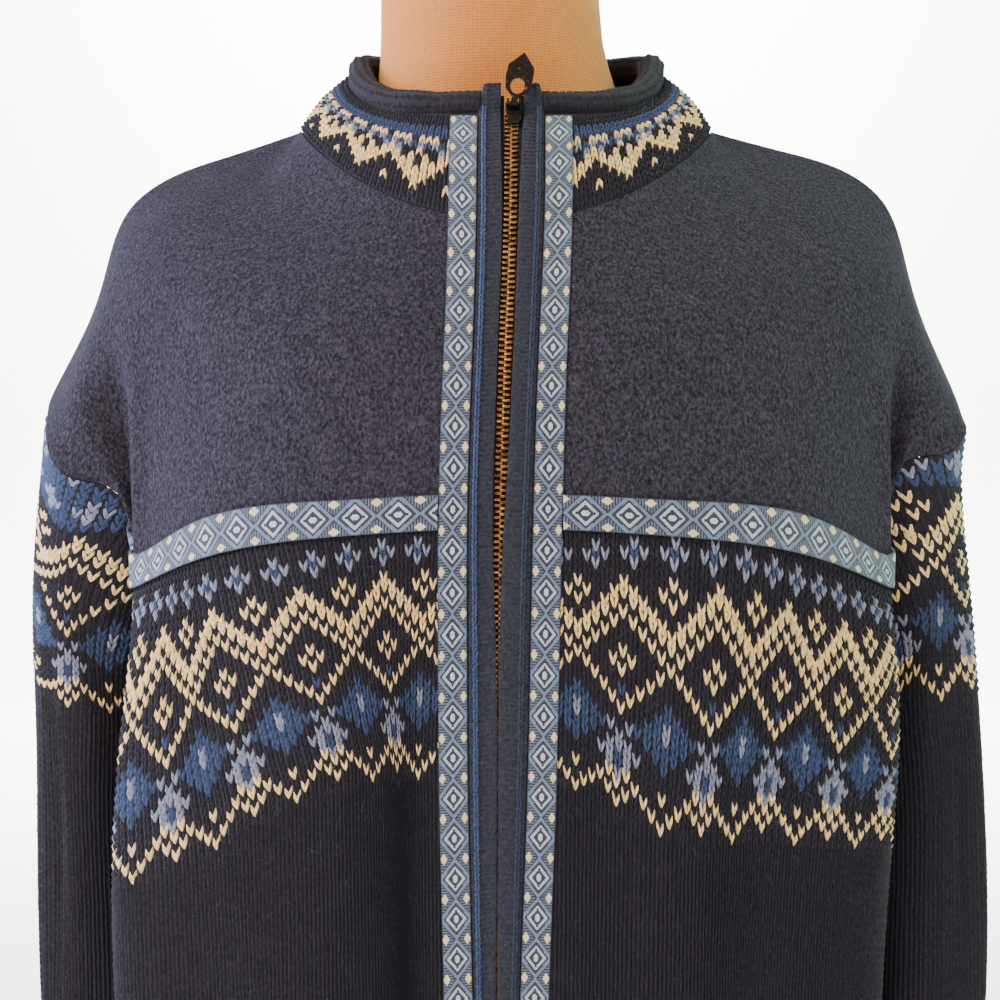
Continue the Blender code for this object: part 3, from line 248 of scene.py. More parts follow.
Section = namedtuple("Section", "name down centre chest flank corner hollow edge spread lift")
FRONT_SECTIONS = (
    Section("neckline", 0.000, (-.108, .136), (.078, -.070, .161), (.111, .002, .1995),
            (.2055, .002, .158), (.227, .002, .096), (.248, .002, .052), (0, 0), (0, -.010)),
    Section("collarbone", 0.033, (-.119, .105), (.072, -.110, .112), (.140, -.060, .143),
            (.200, -.036, .122), (.2225, -.028, .075), (.244, -.022, .036), (0, 0), (0, .002)),
    Section("chest", 0.088, (-.138, .053), (.074, -.133, .056), (.145, -.099, .068),
            (.190, -.058, .058), (.2075, -.044, .036), (.226, -.044, .012), (0, .003), (0, .012)),
    Section("ribbon_top", 0.138, (-.148, .004), (.076, -.142, .001), (.149, -.108, -.009),
            (.1885, -.060, -.026), (.194, -.053, -.016), (.193, -.044, -.008), (0, .006), (0, .010)),
    Section("ribbon_foot", 0.157, (-.149, -.0145), (.076, -.143, -.018), (.149, -.108, -.030),
            (.1895, -.060, -.046), (.188, -.050, -.041), (.185, -.038, -.035), (0, .006), (0, .004)),
    Section("underarm", 0.203, (-.148, -.060), (.077, -.143, -.066), (.150, -.108, -.080),
            (.1925, -.059, -.098), (.177, -.031, -.096), (.172, .000, -.090), (0, .0055), (0, 0)),
    Section("band_foot", 0.281, (-.139, -.137), (.077, -.135, -.145), (.151, -.106, -.163),
            (.1990, -.058, -.184), (.177, -.030, -.188), (.164, .004, -.186), (0, -.0045), (0, 0)),
    Section("waist", 0.380, (-.130, -.235), (.076, -.127, -.243), (.149, -.102, -.258),
            (.1970, -.057, -.276), (.175, -.027, -.282), (.163, .006, -.282), (0, -.0075), (0, 0)),
    Section("hem", 0.590, (-.126, -.440), (.074, -.122, -.445), (.146, -.100, -.452),
            (.196, -.056, -.460), (.173, -.026, -.463), (.162, .006, -.463), (0, -.005), (0, 0)),
)
BACK_SECTIONS = (
    Section("neckline", 0.000, (.085, .188), (.078, .062, .191), (.111, .002, .1995),
            (.2055, .002, .158), (.227, .002, .096), (.248, .002, .052), (0, 0), (0, -.010)),
    Section("shoulder_blade", 0.033, (.106, .143), (.072, .100, .143), (.140, .062, .143),
            (.200, .040, .122), (.2225, .034, .075), (.244, .028, .036), (0, 0), (0, .002)),
    Section("chest", 0.088, (.123, .066), (.074, .119, .066), (.145, .094, .068),
            (.190, .066, .058), (.207, .050, .035), (.226, .050, .008), (0, .002), (0, .010)),
    Section("ribbon_top", 0.138, (.128, .000), (.076, .125, -.002), (.146, .104, -.010),
            (.186, .070, -.024), (.189, .060, -.024), (.191, .050, -.022), (0, .002), (0, .004)),
    Section("ribbon_foot", 0.157, (.128, -.0185), (.076, .125, -.0205), (.146, .105, -.029),
            (.186, .071, -.042), (.186, .056, -.043), (.185, .042, -.042), (0, .002), (0, .002)),
    Section("underarm", 0.203, (.127, -.064), (.076, .124, -.067), (.145, .105, -.076),
            (.184, .074, -.088), (.177, .034, -.092), (.172, .000, -.090), (0, .002), (0, 0)),
    Section("band_foot", 0.281, (.126, -.141), (.076, .123, -.145), (.144, .106, -.157),
            (.182, .078, -.172), (.172, .042, -.182), (.164, .004, -.186), (0, 0), (0, 0)),
    Section("waist", 0.380, (.125, -.240), (.075, .122, -.244), (.143, .105, -.256),
            (.181, .078, -.270), (.171, .042, -.279), (.163, .006, -.282), (0, 0), (0, 0)),
    Section("hem", 0.590, (.124, -.448), (.074, .121, -.450), (.141, .104, -.455),
            (.178, .077, -.460), (.169, .042, -.463), (.162, .006, -.463), (0, 0), (0, 0)),
)
SeamPoint = namedtuple("SeamPoint", "down x y z")
SIDE_SEAM = [SeamPoint(section.down, *section.edge) for section in FRONT_SECTIONS if section.down >= UNDERARM]
RidgePoint = namedtuple("RidgePoint", "share x z")
SHOULDER_RIDGE = (
    RidgePoint(0.00, .1110, .1995),
    RidgePoint(0.18, .1500, .1875),
    RidgePoint(0.34, .1830, .1760),
    RidgePoint(0.47, .2050, .1585),
    RidgePoint(0.62, .2165, .1285),
    RidgePoint(0.78, .2275, .0950),
    RidgePoint(0.95, .2460, .0575),
    RidgePoint(1.00, .2480, .0520),
)
RIDGE_Y = 0.002
# How the ridge is raised in its middle and lowered at its end, left and right
RIDGE_RISE = (0.003, -0.002)
RIDGE_DROP = (0.010, 0.0)
Ring = namedtuple("Ring", "half_width side_z front_y front_z back_y back_z level")
COLLAR_FOOT = Ring(.1110, .1995, -.108, .136, .085, .188, False)
ROLL_CENTRE = Ring(.0785, .2345, -.0745, .1995, .074, .2445, True)
RING_TURN = 1.6  # how late a ring leaves the height of its sides
Fold = namedtuple("Fold", "across lean top foot width height")
FRONT_FOLDS = (
    Fold(-0.765, 0.00, 0.040, 0.170, 0.035, 0.0035),
    Fold(-0.840, 0.00, 0.050, 0.170, 0.045, -0.0050),
    Fold(-0.930, 0.01, 0.020, 0.130, 0.040, 0.0030),
    Fold(0.760, 0.01, 0.040, 0.170, 0.035, 0.0030),
    Fold(0.835, 0.00, 0.050, 0.165, 0.040, -0.0055),
    Fold(0.905, -0.01, 0.030, 0.150, 0.035, 0.0025),
    Fold(-0.560, 0.08, 0.210, 0.560, 0.090, -0.0040),
    Fold(0.520, -0.06, 0.230, 0.580, 0.080, -0.0035),
    Fold(-0.330, -0.05, 0.300, 0.580, 0.070, 0.0030),
    Fold(0.300, 0.05, 0.330, 0.580, 0.070, 0.0030),
)
BACK_FOLDS = (
    Fold(-0.700, 0.12, 0.060, 0.220, 0.050, -0.0050),
    Fold(0.690, -0.10, 0.070, 0.230, 0.050, -0.0045),
    Fold(-0.380, 0.06, 0.200, 0.560, 0.080, -0.0040),
    Fold(0.420, -0.08, 0.230, 0.580, 0.090, -0.0045),
    Fold(0.050, 0.04, 0.280, 0.570, 0.080, 0.0035),
)
# Smaller creases, which the plain solids don't have
FRONT_CREASES = (
    Fold(-0.835, 0.00, 0.035, 0.172, 0.030, -0.0045),
    Fold(-0.905, 0.01, 0.015, 0.120, 0.028, 0.0022),
    Fold(0.850, 0.01, 0.040, 0.165, 0.030, -0.0040),
    Fold(0.925, -0.02, 0.030, 0.130, 0.025, 0.0020),
    Fold(-0.640, 0.10, 0.020, 0.120, 0.030, -0.0012),
    Fold(-0.450, 0.22, 0.045, 0.140, 0.026, 0.0009),
    Fold(0.600, -0.07, 0.015, 0.115, 0.034, -0.0013),
    Fold(0.420, 0.16, 0.060, 0.145, 0.028, 0.0009),
    Fold(-0.700, 0.03, 0.165, 0.330, 0.035, 0.0016),
    Fold(0.690, -0.04, 0.170, 0.360, 0.030, 0.0014),
    Fold(-0.180, -0.03, 0.260, 0.500, 0.032, -0.0014),
    Fold(0.170, 0.02, 0.300, 0.540, 0.028, -0.0012),
    Fold(-0.450, 0.03, 0.400, 0.640, 0.050, 0.0026),
    Fold(0.420, -0.02, 0.420, 0.640, 0.045, 0.0024),
    Fold(0.620, 0.04, 0.380, 0.620, 0.040, -0.0018),
    Fold(-0.640, -0.02, 0.360, 0.600, 0.036, -0.0016),
)
BACK_CREASES = (
    Fold(-0.500, 0.15, 0.030, 0.130, 0.036, 0.0012),
    Fold(0.540, -0.12, 0.025, 0.140, 0.032, 0.0011),
    Fold(-0.150, 0.05, 0.180, 0.400, 0.034, -0.0015),
    Fold(0.240, -0.04, 0.210, 0.470, 0.030, 0.0016),
    Fold(-0.560, 0.04, 0.330, 0.620, 0.045, 0.0023),
    Fold(0.600, 0.00, 0.360, 0.640, 0.050, 0.0022),
)


def unit(vectors):
    return vectors / np.maximum(np.linalg.norm(vectors, axis=-1, keepdims=True), 1e-12)


def spline_weights(knots, places):
    """A row of weights for each place, which turn values at the knots into a natural cubic spline."""
    knots = np.asarray(knots, float)
    places = np.asarray(places, float)
    count, step = len(knots), np.diff(knots)
    curve, pull = np.eye(count), np.zeros((count, count))
    for i in range(1, count - 1):
        curve[i, i - 1: i + 2] = step[i - 1], 2 * (step[i - 1] + step[i]), step[i]
        pull[i, i - 1: i + 2] = 6 / step[i - 1], -6 / step[i - 1] - 6 / step[i], 6 / step[i]
    bend = np.linalg.solve(curve, pull)
    low = np.clip(np.searchsorted(knots, places, side="right") - 1, 0, count - 2)
    after = ((places - knots[low]) / step[low])[:, None]
    before, ends, scale = 1 - after, np.eye(count), (step[low] ** 2 / 6)[:, None]
    bent = (before**3 - before) * bend[low] + (after**3 - after) * bend[low + 1]
    return before * ends[low] + after * ends[low + 1] + scale * bent


def table_at(rows, column, places, key="down"):
    """A column of a table, read by a spline at these places."""
    knots = [getattr(row, key) for row in rows]
    values = np.array([getattr(row, column) for row in rows])
    places = np.asarray(places, float)
    return (spline_weights(knots, places.ravel()) @ values).reshape(places.shape)


def ring_point(ring, turn):
    """Points of a ring round the neck; turn is 0 at the front, a quarter turn at +X."""
    turn = np.asarray(turn, float)
    cos = np.cos(turn)
    reach = np.abs(cos)
    front = cos > 0
    end_y = np.where(front, ring.front_y, ring.back_y)
    end_z = np.where(front, ring.front_z, ring.back_z)
    y = RIDGE_Y + (end_y - RIDGE_Y) * reach
    turned = 1 - (1 - reach) ** RING_TURN if ring.level else reach**RING_TURN
    z = ring.side_z + (end_z - ring.side_z) * turned
    return np.stack([ring.half_width * np.sin(turn), y, z], axis=-1)


def folds_at(folds, across, down):
    """How far the folds push the cloth out."""
    out = np.zeros(np.broadcast(across, down).shape)
    for fold in folds:
        share = np.clip((down - fold.top) / (fold.foot - fold.top), 0, 1)
        middle = fold.across + fold.lean * share
        bump = np.exp(-(((across - middle) / fold.width) ** 2))
        out += fold.height * np.sin(math.pi * share) ** 2 * bump
    return out


class Panel:
    """The front or the back as one surface: across runs from -1 to 1, down from the neckline."""

    def __init__(self, sections, facing, folds):
        self.facing, self.folds = facing, folds
        self.downs = [section.down for section in sections]
        self.places = [-a for a in reversed(ACROSS[1:])] + list(ACROSS)
        self.net = np.array([self.whole_row(section) for section in sections])

    @staticmethod
    def whole_row(section):
        """The section's eleven points, from the left edge to the right edge."""
        halves = []
        for side, spread, lift in zip((-1, 1), section.spread, section.lift):
            wider = (0, spread / 2, spread, spread * 0.3, 0)
            higher = (0, 0, 0, lift / 2, lift)
            points = (section.chest, section.flank, section.corner, section.hollow, section.edge)
            halves.append([(side * (x + w), y, z + h) for (x, y, z), w, h in zip(points, wider, higher)])
        return halves[0][::-1] + [(0, *section.centre)] + halves[1]

    def top_line(self, across):
        """The neckline as far as the neck's side, and the shoulder ridge from there."""
        place, side = np.abs(across), np.sign(across)
        turn = np.clip(place / NECK_ACROSS, 0, 1) * math.pi / 2
        neckline = ring_point(COLLAR_FOOT, turn if self.facing < 0 else math.pi - turn)
        share = np.clip((place - NECK_ACROSS) / (1 - NECK_ACROSS), 0, 1)
        x = table_at(SHOULDER_RIDGE, "x", share, "share")
        z = table_at(SHOULDER_RIDGE, "z", share, "share")
        rise, drop = np.where(side > 0, *RIDGE_RISE), np.where(side > 0, *RIDGE_DROP)
        z = z + rise * np.sin(math.pi * share) - drop * share**4
        ridge = np.stack([x, np.full_like(x, RIDGE_Y), z], axis=-1)
        line = np.where((place <= NECK_ACROSS)[..., None], neckline, ridge)
        line[..., 0] *= side
        return line

    def smooth(self, across, down):
        """Points of the surface before its folds."""
        shape = across.shape
        across_flat, down_flat = across.ravel(), down.ravel()
        over = spline_weights(self.places, across_flat)
        along = spline_weights(self.downs, down_flat)
        points = np.einsum("ki,kj,ijc->kc", along, over, self.net)
        pull = np.clip(1 - down_flat / TOP_REACH, 0, 1)[:, None] ** 3
        points = points + pull * (self.top_line(across_flat) - over @ self.net[0])
        on_left = across_flat < 0
        edge = np.where(on_left[:, None], along @ self.net[:, 0], along @ self.net[:, -1])
        seam_down = np.maximum(down_flat, UNDERARM)
        seam = np.stack([table_at(SIDE_SEAM, key, seam_down) for key in "xyz"], axis=-1)
        seam[:, 0] *= np.where(on_left, -1, 1)
        near = np.clip((np.abs(across_flat) - CORNER_ACROSS) / (1 - CORNER_ACROSS), 0, 1) ** 2
        near = np.where(down_flat >= UNDERARM, near, 0)
        return (points + near[:, None] * (seam - edge)).reshape(*shape, 3)

    def point(self, across, down):
        """Points with the folds, at the garment's true height."""
        across, down = np.broadcast_arrays(np.asarray(across, float), np.asarray(down, float))
        over = self.smooth(across + STEP_ACROSS, down) - self.smooth(across - STEP_ACROSS, down)
        above = np.maximum(down - STEP_DOWN, 0)
        along = self.smooth(across, down + STEP_DOWN) - self.smooth(across, above)
        out = unit(np.cross(over, along)) * self.facing
        pushed = folds_at(self.folds, across, down)[..., None]
        return self.smooth(across, down) + out * pushed + (0, 0, CHEST)


class Cloth:
    """A surface kept as a grid of points and outward directions, which is read at any place."""

    def __init__(self, columns, rows, points, normals):
        self.columns, self.rows, self.points, self.normals = columns, rows, points, normals

    def at(self, across, down, lift=0.0):
        """Points that stand this far off the surface."""
        across, down, lift = np.broadcast_arrays(across, down, lift)
        x = np.interp(across, self.columns, np.arange(len(self.columns)))
        y = np.interp(down, self.rows, np.arange(len(self.rows)))
        c = np.minimum(x.astype(int), len(self.columns) - 2)
        r = np.minimum(y.astype(int), len(self.rows) - 2)
        fx, fy = (x - c)[..., None], (y - r)[..., None]
        read = []
        for grid in (self.points, self.normals):
            top = grid[r, c] * (1 - fx) + grid[r, c + 1] * fx
            low = grid[r + 1, c] * (1 - fx) + grid[r + 1, c + 1] * fx
            read.append(top * (1 - fy) + low * fy)
        return read[0] + unit(read[1]) * lift[..., None]

    def out(self, across, down):
        return self.at(across, down, 1.0) - self.at(across, down)


def quads(index):
    """The four corners of every cell of a grid of vertex numbers."""
    corners = index[:-1, :-1], index[:-1, 1:], index[1:, 1:], index[1:, :-1]
    return np.stack(corners, -1).reshape(-1, 4).tolist()


def new_piece(name, points, faces, finishes, uv=None, slots=None, sharp=50, straighten=False):
    """A mesh piece of the garment with its finishes and, where given, its cloth coordinates."""
    mesh = bpy.data.meshes.new(name)
    mesh.from_pydata(np.asarray(points).reshape(-1, 3).tolist(), [], faces)
    if straighten:
        shape = bmesh.new()
        shape.from_mesh(mesh)
        bmesh.ops.recalc_face_normals(shape, faces=shape.faces)
        shape.to_mesh(mesh)
        shape.free()
    for finish in finishes:
        mesh.materials.append(finish.material)
    if slots is not None:
        mesh.polygons.foreach_set("material_index", np.asarray(slots, np.int32))
    mesh.shade_smooth()
    if sharp:
        mesh.set_sharp_from_angle(angle=math.radians(sharp))
    if uv is not None:
        corner = np.empty(len(mesh.loops), np.int32)
        mesh.loops.foreach_get("vertex_index", corner)
        layer = mesh.uv_layers.new(name="cloth")
        layer.data.foreach_set("uv", np.asarray(uv, np.float32).reshape(-1, 2)[corner].ravel())
    made = bpy.data.objects.new(name, mesh)
    bpy.context.collection.objects.link(made)
    return made


def cloth_wall(name, outer, inner, finishes, uv, step=4, closed=False):
    """A closed thin wall: a fine outer grid, a coarser inner one, and the rims between them."""
    rows, columns = outer.shape[:2]
    fine = np.arange(rows * columns).reshape(rows, columns)
    back = inner[::step, ::step]
    behind = rows * columns + np.arange(back.shape[0] * back.shape[1]).reshape(back.shape[:2])
    if closed:
        fine, behind = (np.concatenate([grid, grid[:, :1]], axis=1) for grid in (fine, behind))
    faces = quads(fine) + quads(behind[:, ::-1])
    rims = [(fine[0], behind[0], 1), (fine[-1], behind[-1], -1)]
    if not closed:
        rims += [(fine[:, 0], behind[:, 0], -1), (fine[:, -1], behind[:, -1], 1)]
    for line, other, turned in rims:
        for i in range(len(other) - 1):
            rim = [*line[i * step: (i + 1) * step + 1][::-1], other[i], other[i + 1]]
            faces.append([int(v) for v in rim[::turned]])
    points = np.concatenate([outer.reshape(-1, 3), back.reshape(-1, 3)])
    places = np.concatenate([uv.reshape(-1, 2), uv[::step, ::step].reshape(-1, 2)])
    return new_piece(name, points, faces, finishes, places, straighten=True)


def worn(pieces, node=None):
    """The pieces move with the garment, and the first one may stand for a solid of the part."""
    if node:
        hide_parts(node)
    for piece in pieces:
        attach(piece, "cardigan")


def panel_cloth(sections, facing, folds):
    panel = Panel(sections, facing, folds)
    columns = np.linspace(-1, 1, 321)
    rows = np.concatenate([np.linspace(0, 0.2, 101), np.linspace(0.2, HEM, 157)[1:]])
    points = panel.point(*np.meshgrid(columns, rows))
    over, along = np.gradient(points, axis=1), np.gradient(points, axis=0)
    return panel, Cloth(columns, rows, points, unit(np.cross(over, along)) * facing)


front, front_cloth = panel_cloth(FRONT_SECTIONS, -1, FRONT_FOLDS + FRONT_CREASES)
back, back_cloth = panel_cloth(BACK_SECTIONS, 1, BACK_FOLDS + BACK_CREASES)

Closure = namedtuple("Closure", "down middle half gap_left gap_right")
CLOSURE = (
    Closure(-0.080, .0026, .0165, .0053, .0064),
    Closure(-0.045, .0022, .0165, .0050, .0054),
    Closure(0.000, .0017, .0162, .0040, .0040),
    Closure(0.033, .0007, .0158, .0038, .0038),
    Closure(0.088, -.0014, .0152, .0037, .0036),
    Closure(0.138, -.0029, .0150, .0036, .0024),
    Closure(0.157, -.0033, .0149, .0033, .0016),
    Closure(0.203, -.0038, .0145, .0016, .0004),
    Closure(0.281, -.0044, .0136, .0003, .0003),
    Closure(0.380, -.0050, .0110, .0003, .0003),
    Closure(0.590, -.0050, .0100, .0003, .0003),
)


def closure_x(down, side, column):
    """How far to the side a line of the closure lies: its middle plus or minus a column."""
    return table_at(CLOSURE, "middle", down) + side * table_at(CLOSURE, column, down)


def front_across(x, down):
    """The place across at which the front stands this far to the side, near the middle."""
    tries = np.linspace(-0.3, 0.3, 41)
    grid = front.smooth(*np.broadcast_arrays(tries[None, :], np.asarray(down)[:, None]))[..., 0]
    return np.array([np.interp(wanted, line, tries) for wanted, line in zip(x, grid)])


def between(start, end, count):
    """For every row, places evenly spaced from one edge to the other."""
    share = np.linspace(0, 1, count)[None, :]
    return start[:, None] * (1 - share) + end[:, None] * share


def panel_faces(cloth, other, across, down, seam, base, thickness):
    """A panel's outer and inner face. At a seam the rims of front and back stand square to each other."""
    outer, inner = cloth.at(across, down, base), cloth.at(across, down, -thickness)
    both = unit(cloth.out(across, down) + other.out(across, down))
    inner = np.where(seam[..., None], outer - both * thickness, inner)
    sideways = np.array([0, SEAM / 2 if cloth is back_cloth else -SEAM / 2, 0])
    return outer + seam[..., None] * sideways, inner + seam[..., None] * sideways


felt = Finish("boiled_wool", 0.96, Sheen_Weight=0.05, Sheen_Roughness=0.5, Specular_IOR_Level=0.06)
felt.set("Sheen Tint", shade(150, 140, 165))
mottle = felt.noise(55, 4)
lint = felt.noise(760, 4, (1, 1, 0.6), 0.75)
matted = felt.add("TexVoronoi", {"feature": "SMOOTH_F1"},
                  {"Vector": felt.place(), "Scale": 430, "Smoothness": 0.7})
fibres = felt.blend(shade(27, 23, 29), shade(61, 56, 64), lint.rise(0.36, 0.64))
felt.colour(felt.blend(fibres, shade(112, 104, 114),
                       lint.rise(0.60, 0.80) * 0.7 + mottle.rise(0.55, 0.8) * 0.08))
felt.relief(lint * 0.8 + matted * 0.7 + mottle * 0.8, 0.0011, 0.8)

YOKE_ROWS, YOKE_FRONT_COLUMNS, YOKE_BACK_COLUMNS = 65, 81, 129
yoke_downs = np.linspace(0, YOKE_FOOT - YOKE_SEAM / 2, YOKE_ROWS)
left_side, right_side = np.full(YOKE_ROWS, -1.0), np.full(YOKE_ROWS, 1.0)


def yoke_piece(word, cloth, start, end, columns, other, flat, area):
    across = between(start, end, columns)
    down = np.broadcast_to(yoke_downs[:, None], across.shape)
    seam = (down <= 0) & (np.abs(across) >= NECK_ACROSS)
    faces = panel_faces(cloth, other, across, down, seam, 0.0, FELT)
    yoke = cloth_wall(f"felt_yoke_{word}", *faces, [felt], np.stack([across, down], -1))
    worn([yoke], f"yoke_{word}")


for side, word in ((-1, "left"), (1, "right")):
    inner_edge = front_across(closure_x(yoke_downs, side, "half") + side * SEAM, yoke_downs)
    ends = (left_side, inner_edge) if side < 0 else (inner_edge, right_side)
    yoke_piece(f"front_{word}", front_cloth, *ends, YOKE_FRONT_COLUMNS, back_cloth, (0.265, 0.25), 0.052)
yoke_piece("back", back_cloth, left_side, right_side, YOKE_BACK_COLUMNS, front_cloth, (0.56, 0.26),
           0.115)

# ------------------------------
# Fronts and back below the yoke. Wool yarn in stocking stitch, one knitted row after another;
# the band under the yoke is stranded in four colours, and the rest runs on in plain navy.
STITCH = 0.0046
ROW = 0.0044
KNIT = 0.0024
UNDER_STITCHES = 0.0007  # how far the plain cloth lies under the line that the stitches stand on
RIBBON_COVERS = 0.0115  # beside the closure, where no stitch would show
MEASURED_DOWN = 0.22  # the level at which distances from the middle are measured
EDGE_MARGIN = 0.006  # free of stitches, in places across
TOP_LEVELS, LOW_LEVELS = 9, 61  # down to the underarm, and from there to the hem
# Charted from the traditional figures: . navy, c cream, b blue, g grey
CHART = (
    "....", "....", ".g..", "gbg.", ".g..", "....",
    "c....c....", "cc..c.c..c", ".cc..c..cc", "c.cc...cc.", ".c.cc.cc.c", "..c.ccc.c.", "...c.c.c..",
    "c...c.c...", ".c...c...c", "c...c.c...", "...c...c..", "b.c.....c.", ".c...b...c", "c...bbb...",
    "...bbgbb..", ".gbbbgbbbg", "g..bbbbb..", "gg..bbb..g", "bgg..b..gg", "bg.......g", "gc.......c",
    "c.c..c..c.", ".c.c...c.c", "c...c.c...", ".....c....",
)
COLOURS = ".cbg"
BAND_ROWS = len(CHART)
FLOWER_ROWS = 6  # the rows that repeat every four stitches
# How the band lies, column by column: the distance from the middle near its top and at its foot,
# how far down it starts, and how tall its rows stand
Lay = namedtuple("Lay", "column top foot down row")
LAY_LEFT = (
    Lay(-58, -.3000, -.3000, .1530, .00440),
    Lay(-40, -.2360, -.2320, .1530, .00460),
    Lay(-30, -.1900, -.1770, .1535, .00460),
    Lay(-20, -.1545, -.1282, .1556, .00407),
    Lay(-10, -.1030, -.0825, .1554, .00372),
    Lay(0, -.0608, -.0525, .1513, .00385),
    Lay(5, -.0410, -.0430, .1513, .00388),
    Lay(12, -.0120, -.0160, .1520, .00390),
)
LAY_RIGHT = (
    Lay(-10, .0090, .0090, .1520, .00400),
    Lay(-5, .0315, .0300, .1530, .00400),
    Lay(0, .0535, .0492, .1498, .00442),
    Lay(10, .1010, .0922, .1476, .00480),
    Lay(20, .1400, .1280, .1521, .00442),
    Lay(30, .1775, .1705, .1555, .00420),
    Lay(40, .2170, .2085, .1567, .00393),
    Lay(62, .3000, .3000, .1560, .00390),
)
LAY_BACK = tuple(Lay(column, column * STITCH, column * STITCH, .1530, ROW) for column in (-68, 0, 68))
LAY_ROWS = (6.0, 29.0)  # the rows at which a lay's two distances hold


def yarn(name, colour, dust):
    """Woollen yarn: fine twisted fibres and a pale dust of loose ones."""
    made = Finish(name, 0.95, Sheen_Weight=0.07, Sheen_Roughness=0.5, Specular_IOR_Level=0.08)
    hair = made.noise(900, 4, (1, 1, 0.5), 0.7)
    shadow = shade(*(0.62 * c for c in colour))
    fibres = made.blend(shadow, shade(*colour), hair.rise(0.3, 0.6))
    made.colour(made.blend(fibres, shade(*dust), hair.rise(0.58, 0.8) * 0.6))
    return made.relief(hair + made.noise(2600, 2) * 0.5, 0.0006, 0.7)


navy = yarn("navy_yarn", (43, 38, 44), (88, 80, 88))
YARNS = [navy, yarn("cream_yarn", (255, 212, 142), (255, 236, 184)),
         yarn("blue_yarn", (62, 72, 102), (102, 112, 142)),
         yarn("grey_yarn", (140, 139, 156), (180, 179, 192))]
# A stitch's leg, in stitches: where it starts, how long it is, how far out it starts and how far it
# leans in, and how far its two ends are raised. Plain legs stand steeper, as upright ridges.
Leg = namedtuple("Leg", "start length spread lean first last")
BAND_LEG = Leg(-0.74, 1.44, 0.34, 0.27, 0.15, 0.45)
PLAIN_LEG = Leg(-0.95, 1.85, 0.29, 0.10, 0.55, 0.75)
LEG_WIDTH = 0.255
LEG_SKEW = 0.16  # how far a leg's outer side runs behind its inner one
LEG_ROUND = 1.25  # half the angle of its round section
CROWN, SUNK = 0.0011, 0.0010  # how far its crown stands up and its sides reach down
UNEVEN_ACROSS, UNEVEN_DOWN, UNEVEN_HEIGHT = 0.022, 0.03, 0.08


def stitch_mesh(name, cloth, across_of, down_of, u, v, colours=0, stations=(3, 4), leg=BAND_LEG,
                crown=CROWN, sunk=SUNK):
    """Two raised legs for every stitch, which stand in a V and tuck under the stitch above.

    The stitches are at columns u and rows v, which across_of and down_of turn into places on the cloth."""
    along = np.linspace(0, 1, stations[0])
    half = np.interp(along, (0, 0.35, 0.8, 1), (0.75, 1.0, 0.95, 0.55)) * LEG_WIDTH
    raised = np.interp(along, (0, 0.3, 0.75, 1), (leg.first, 0.95, 1.0, leg.last))
    around = np.linspace(-1, 1, stations[1])
    rounded = np.cos(around * LEG_ROUND) - math.cos(LEG_ROUND)
    rounded /= rounded.max()
    uneven = np.random.default_rng(len(u)).normal(0, 1, (len(u), 2))[:, :, None, None]
    parts = []
    for side in (-1, 1):
        middle = side * (leg.spread - leg.lean * along)
        x = u[:, None, None] + middle[:, None] + (half[:, None] * around)
        y = v[:, None, None] + (leg.start + leg.length * along)[:, None] - side * LEG_SKEW * around
        x, y = x + uneven[:, 0] * UNEVEN_ACROSS, y + uneven[:, 1] * UNEVEN_DOWN
        lift = raised[:, None] * rounded * (crown + sunk) - sunk
        lift = np.broadcast_to(lift, x.shape) * (1 + UNEVEN_HEIGHT * uneven[:, 0])
        parts.append(cloth.at(across_of(x, y), down_of(x, y), lift))
    index = np.arange(stations[0] * stations[1]).reshape(stations)
    leg_faces = np.array(quads(index))
    offset = np.arange(2 * len(u)) * index.size
    faces = (leg_faces[None] + offset[:, None, None]).reshape(-1, 4)
    slots = np.repeat(np.broadcast_to(colours, len(u)), 2 * len(leg_faces))
    return new_piece(name, np.stack(parts, axis=1), faces.tolist(), YARNS, sharp=None, slots=slots)


def stitch_places(columns, rows):
    """The middles of all the stitches of these columns and rows."""
    return (grid.ravel() + 0.5 for grid in np.meshgrid(columns, rows))


def charted(chart, u, v):
    """The yarn of each stitch, by its number."""
    lines = ((column, chart[int(row)]) for column, row in zip(u, v))
    return np.array([COLOURS.index(line[math.floor(column) % len(line)]) for column, line in lines])


def run_length(line):
    """Distances along a line of points."""
    return np.concatenate([[0], np.cumsum(np.linalg.norm(np.diff(line, axis=0), axis=1))])


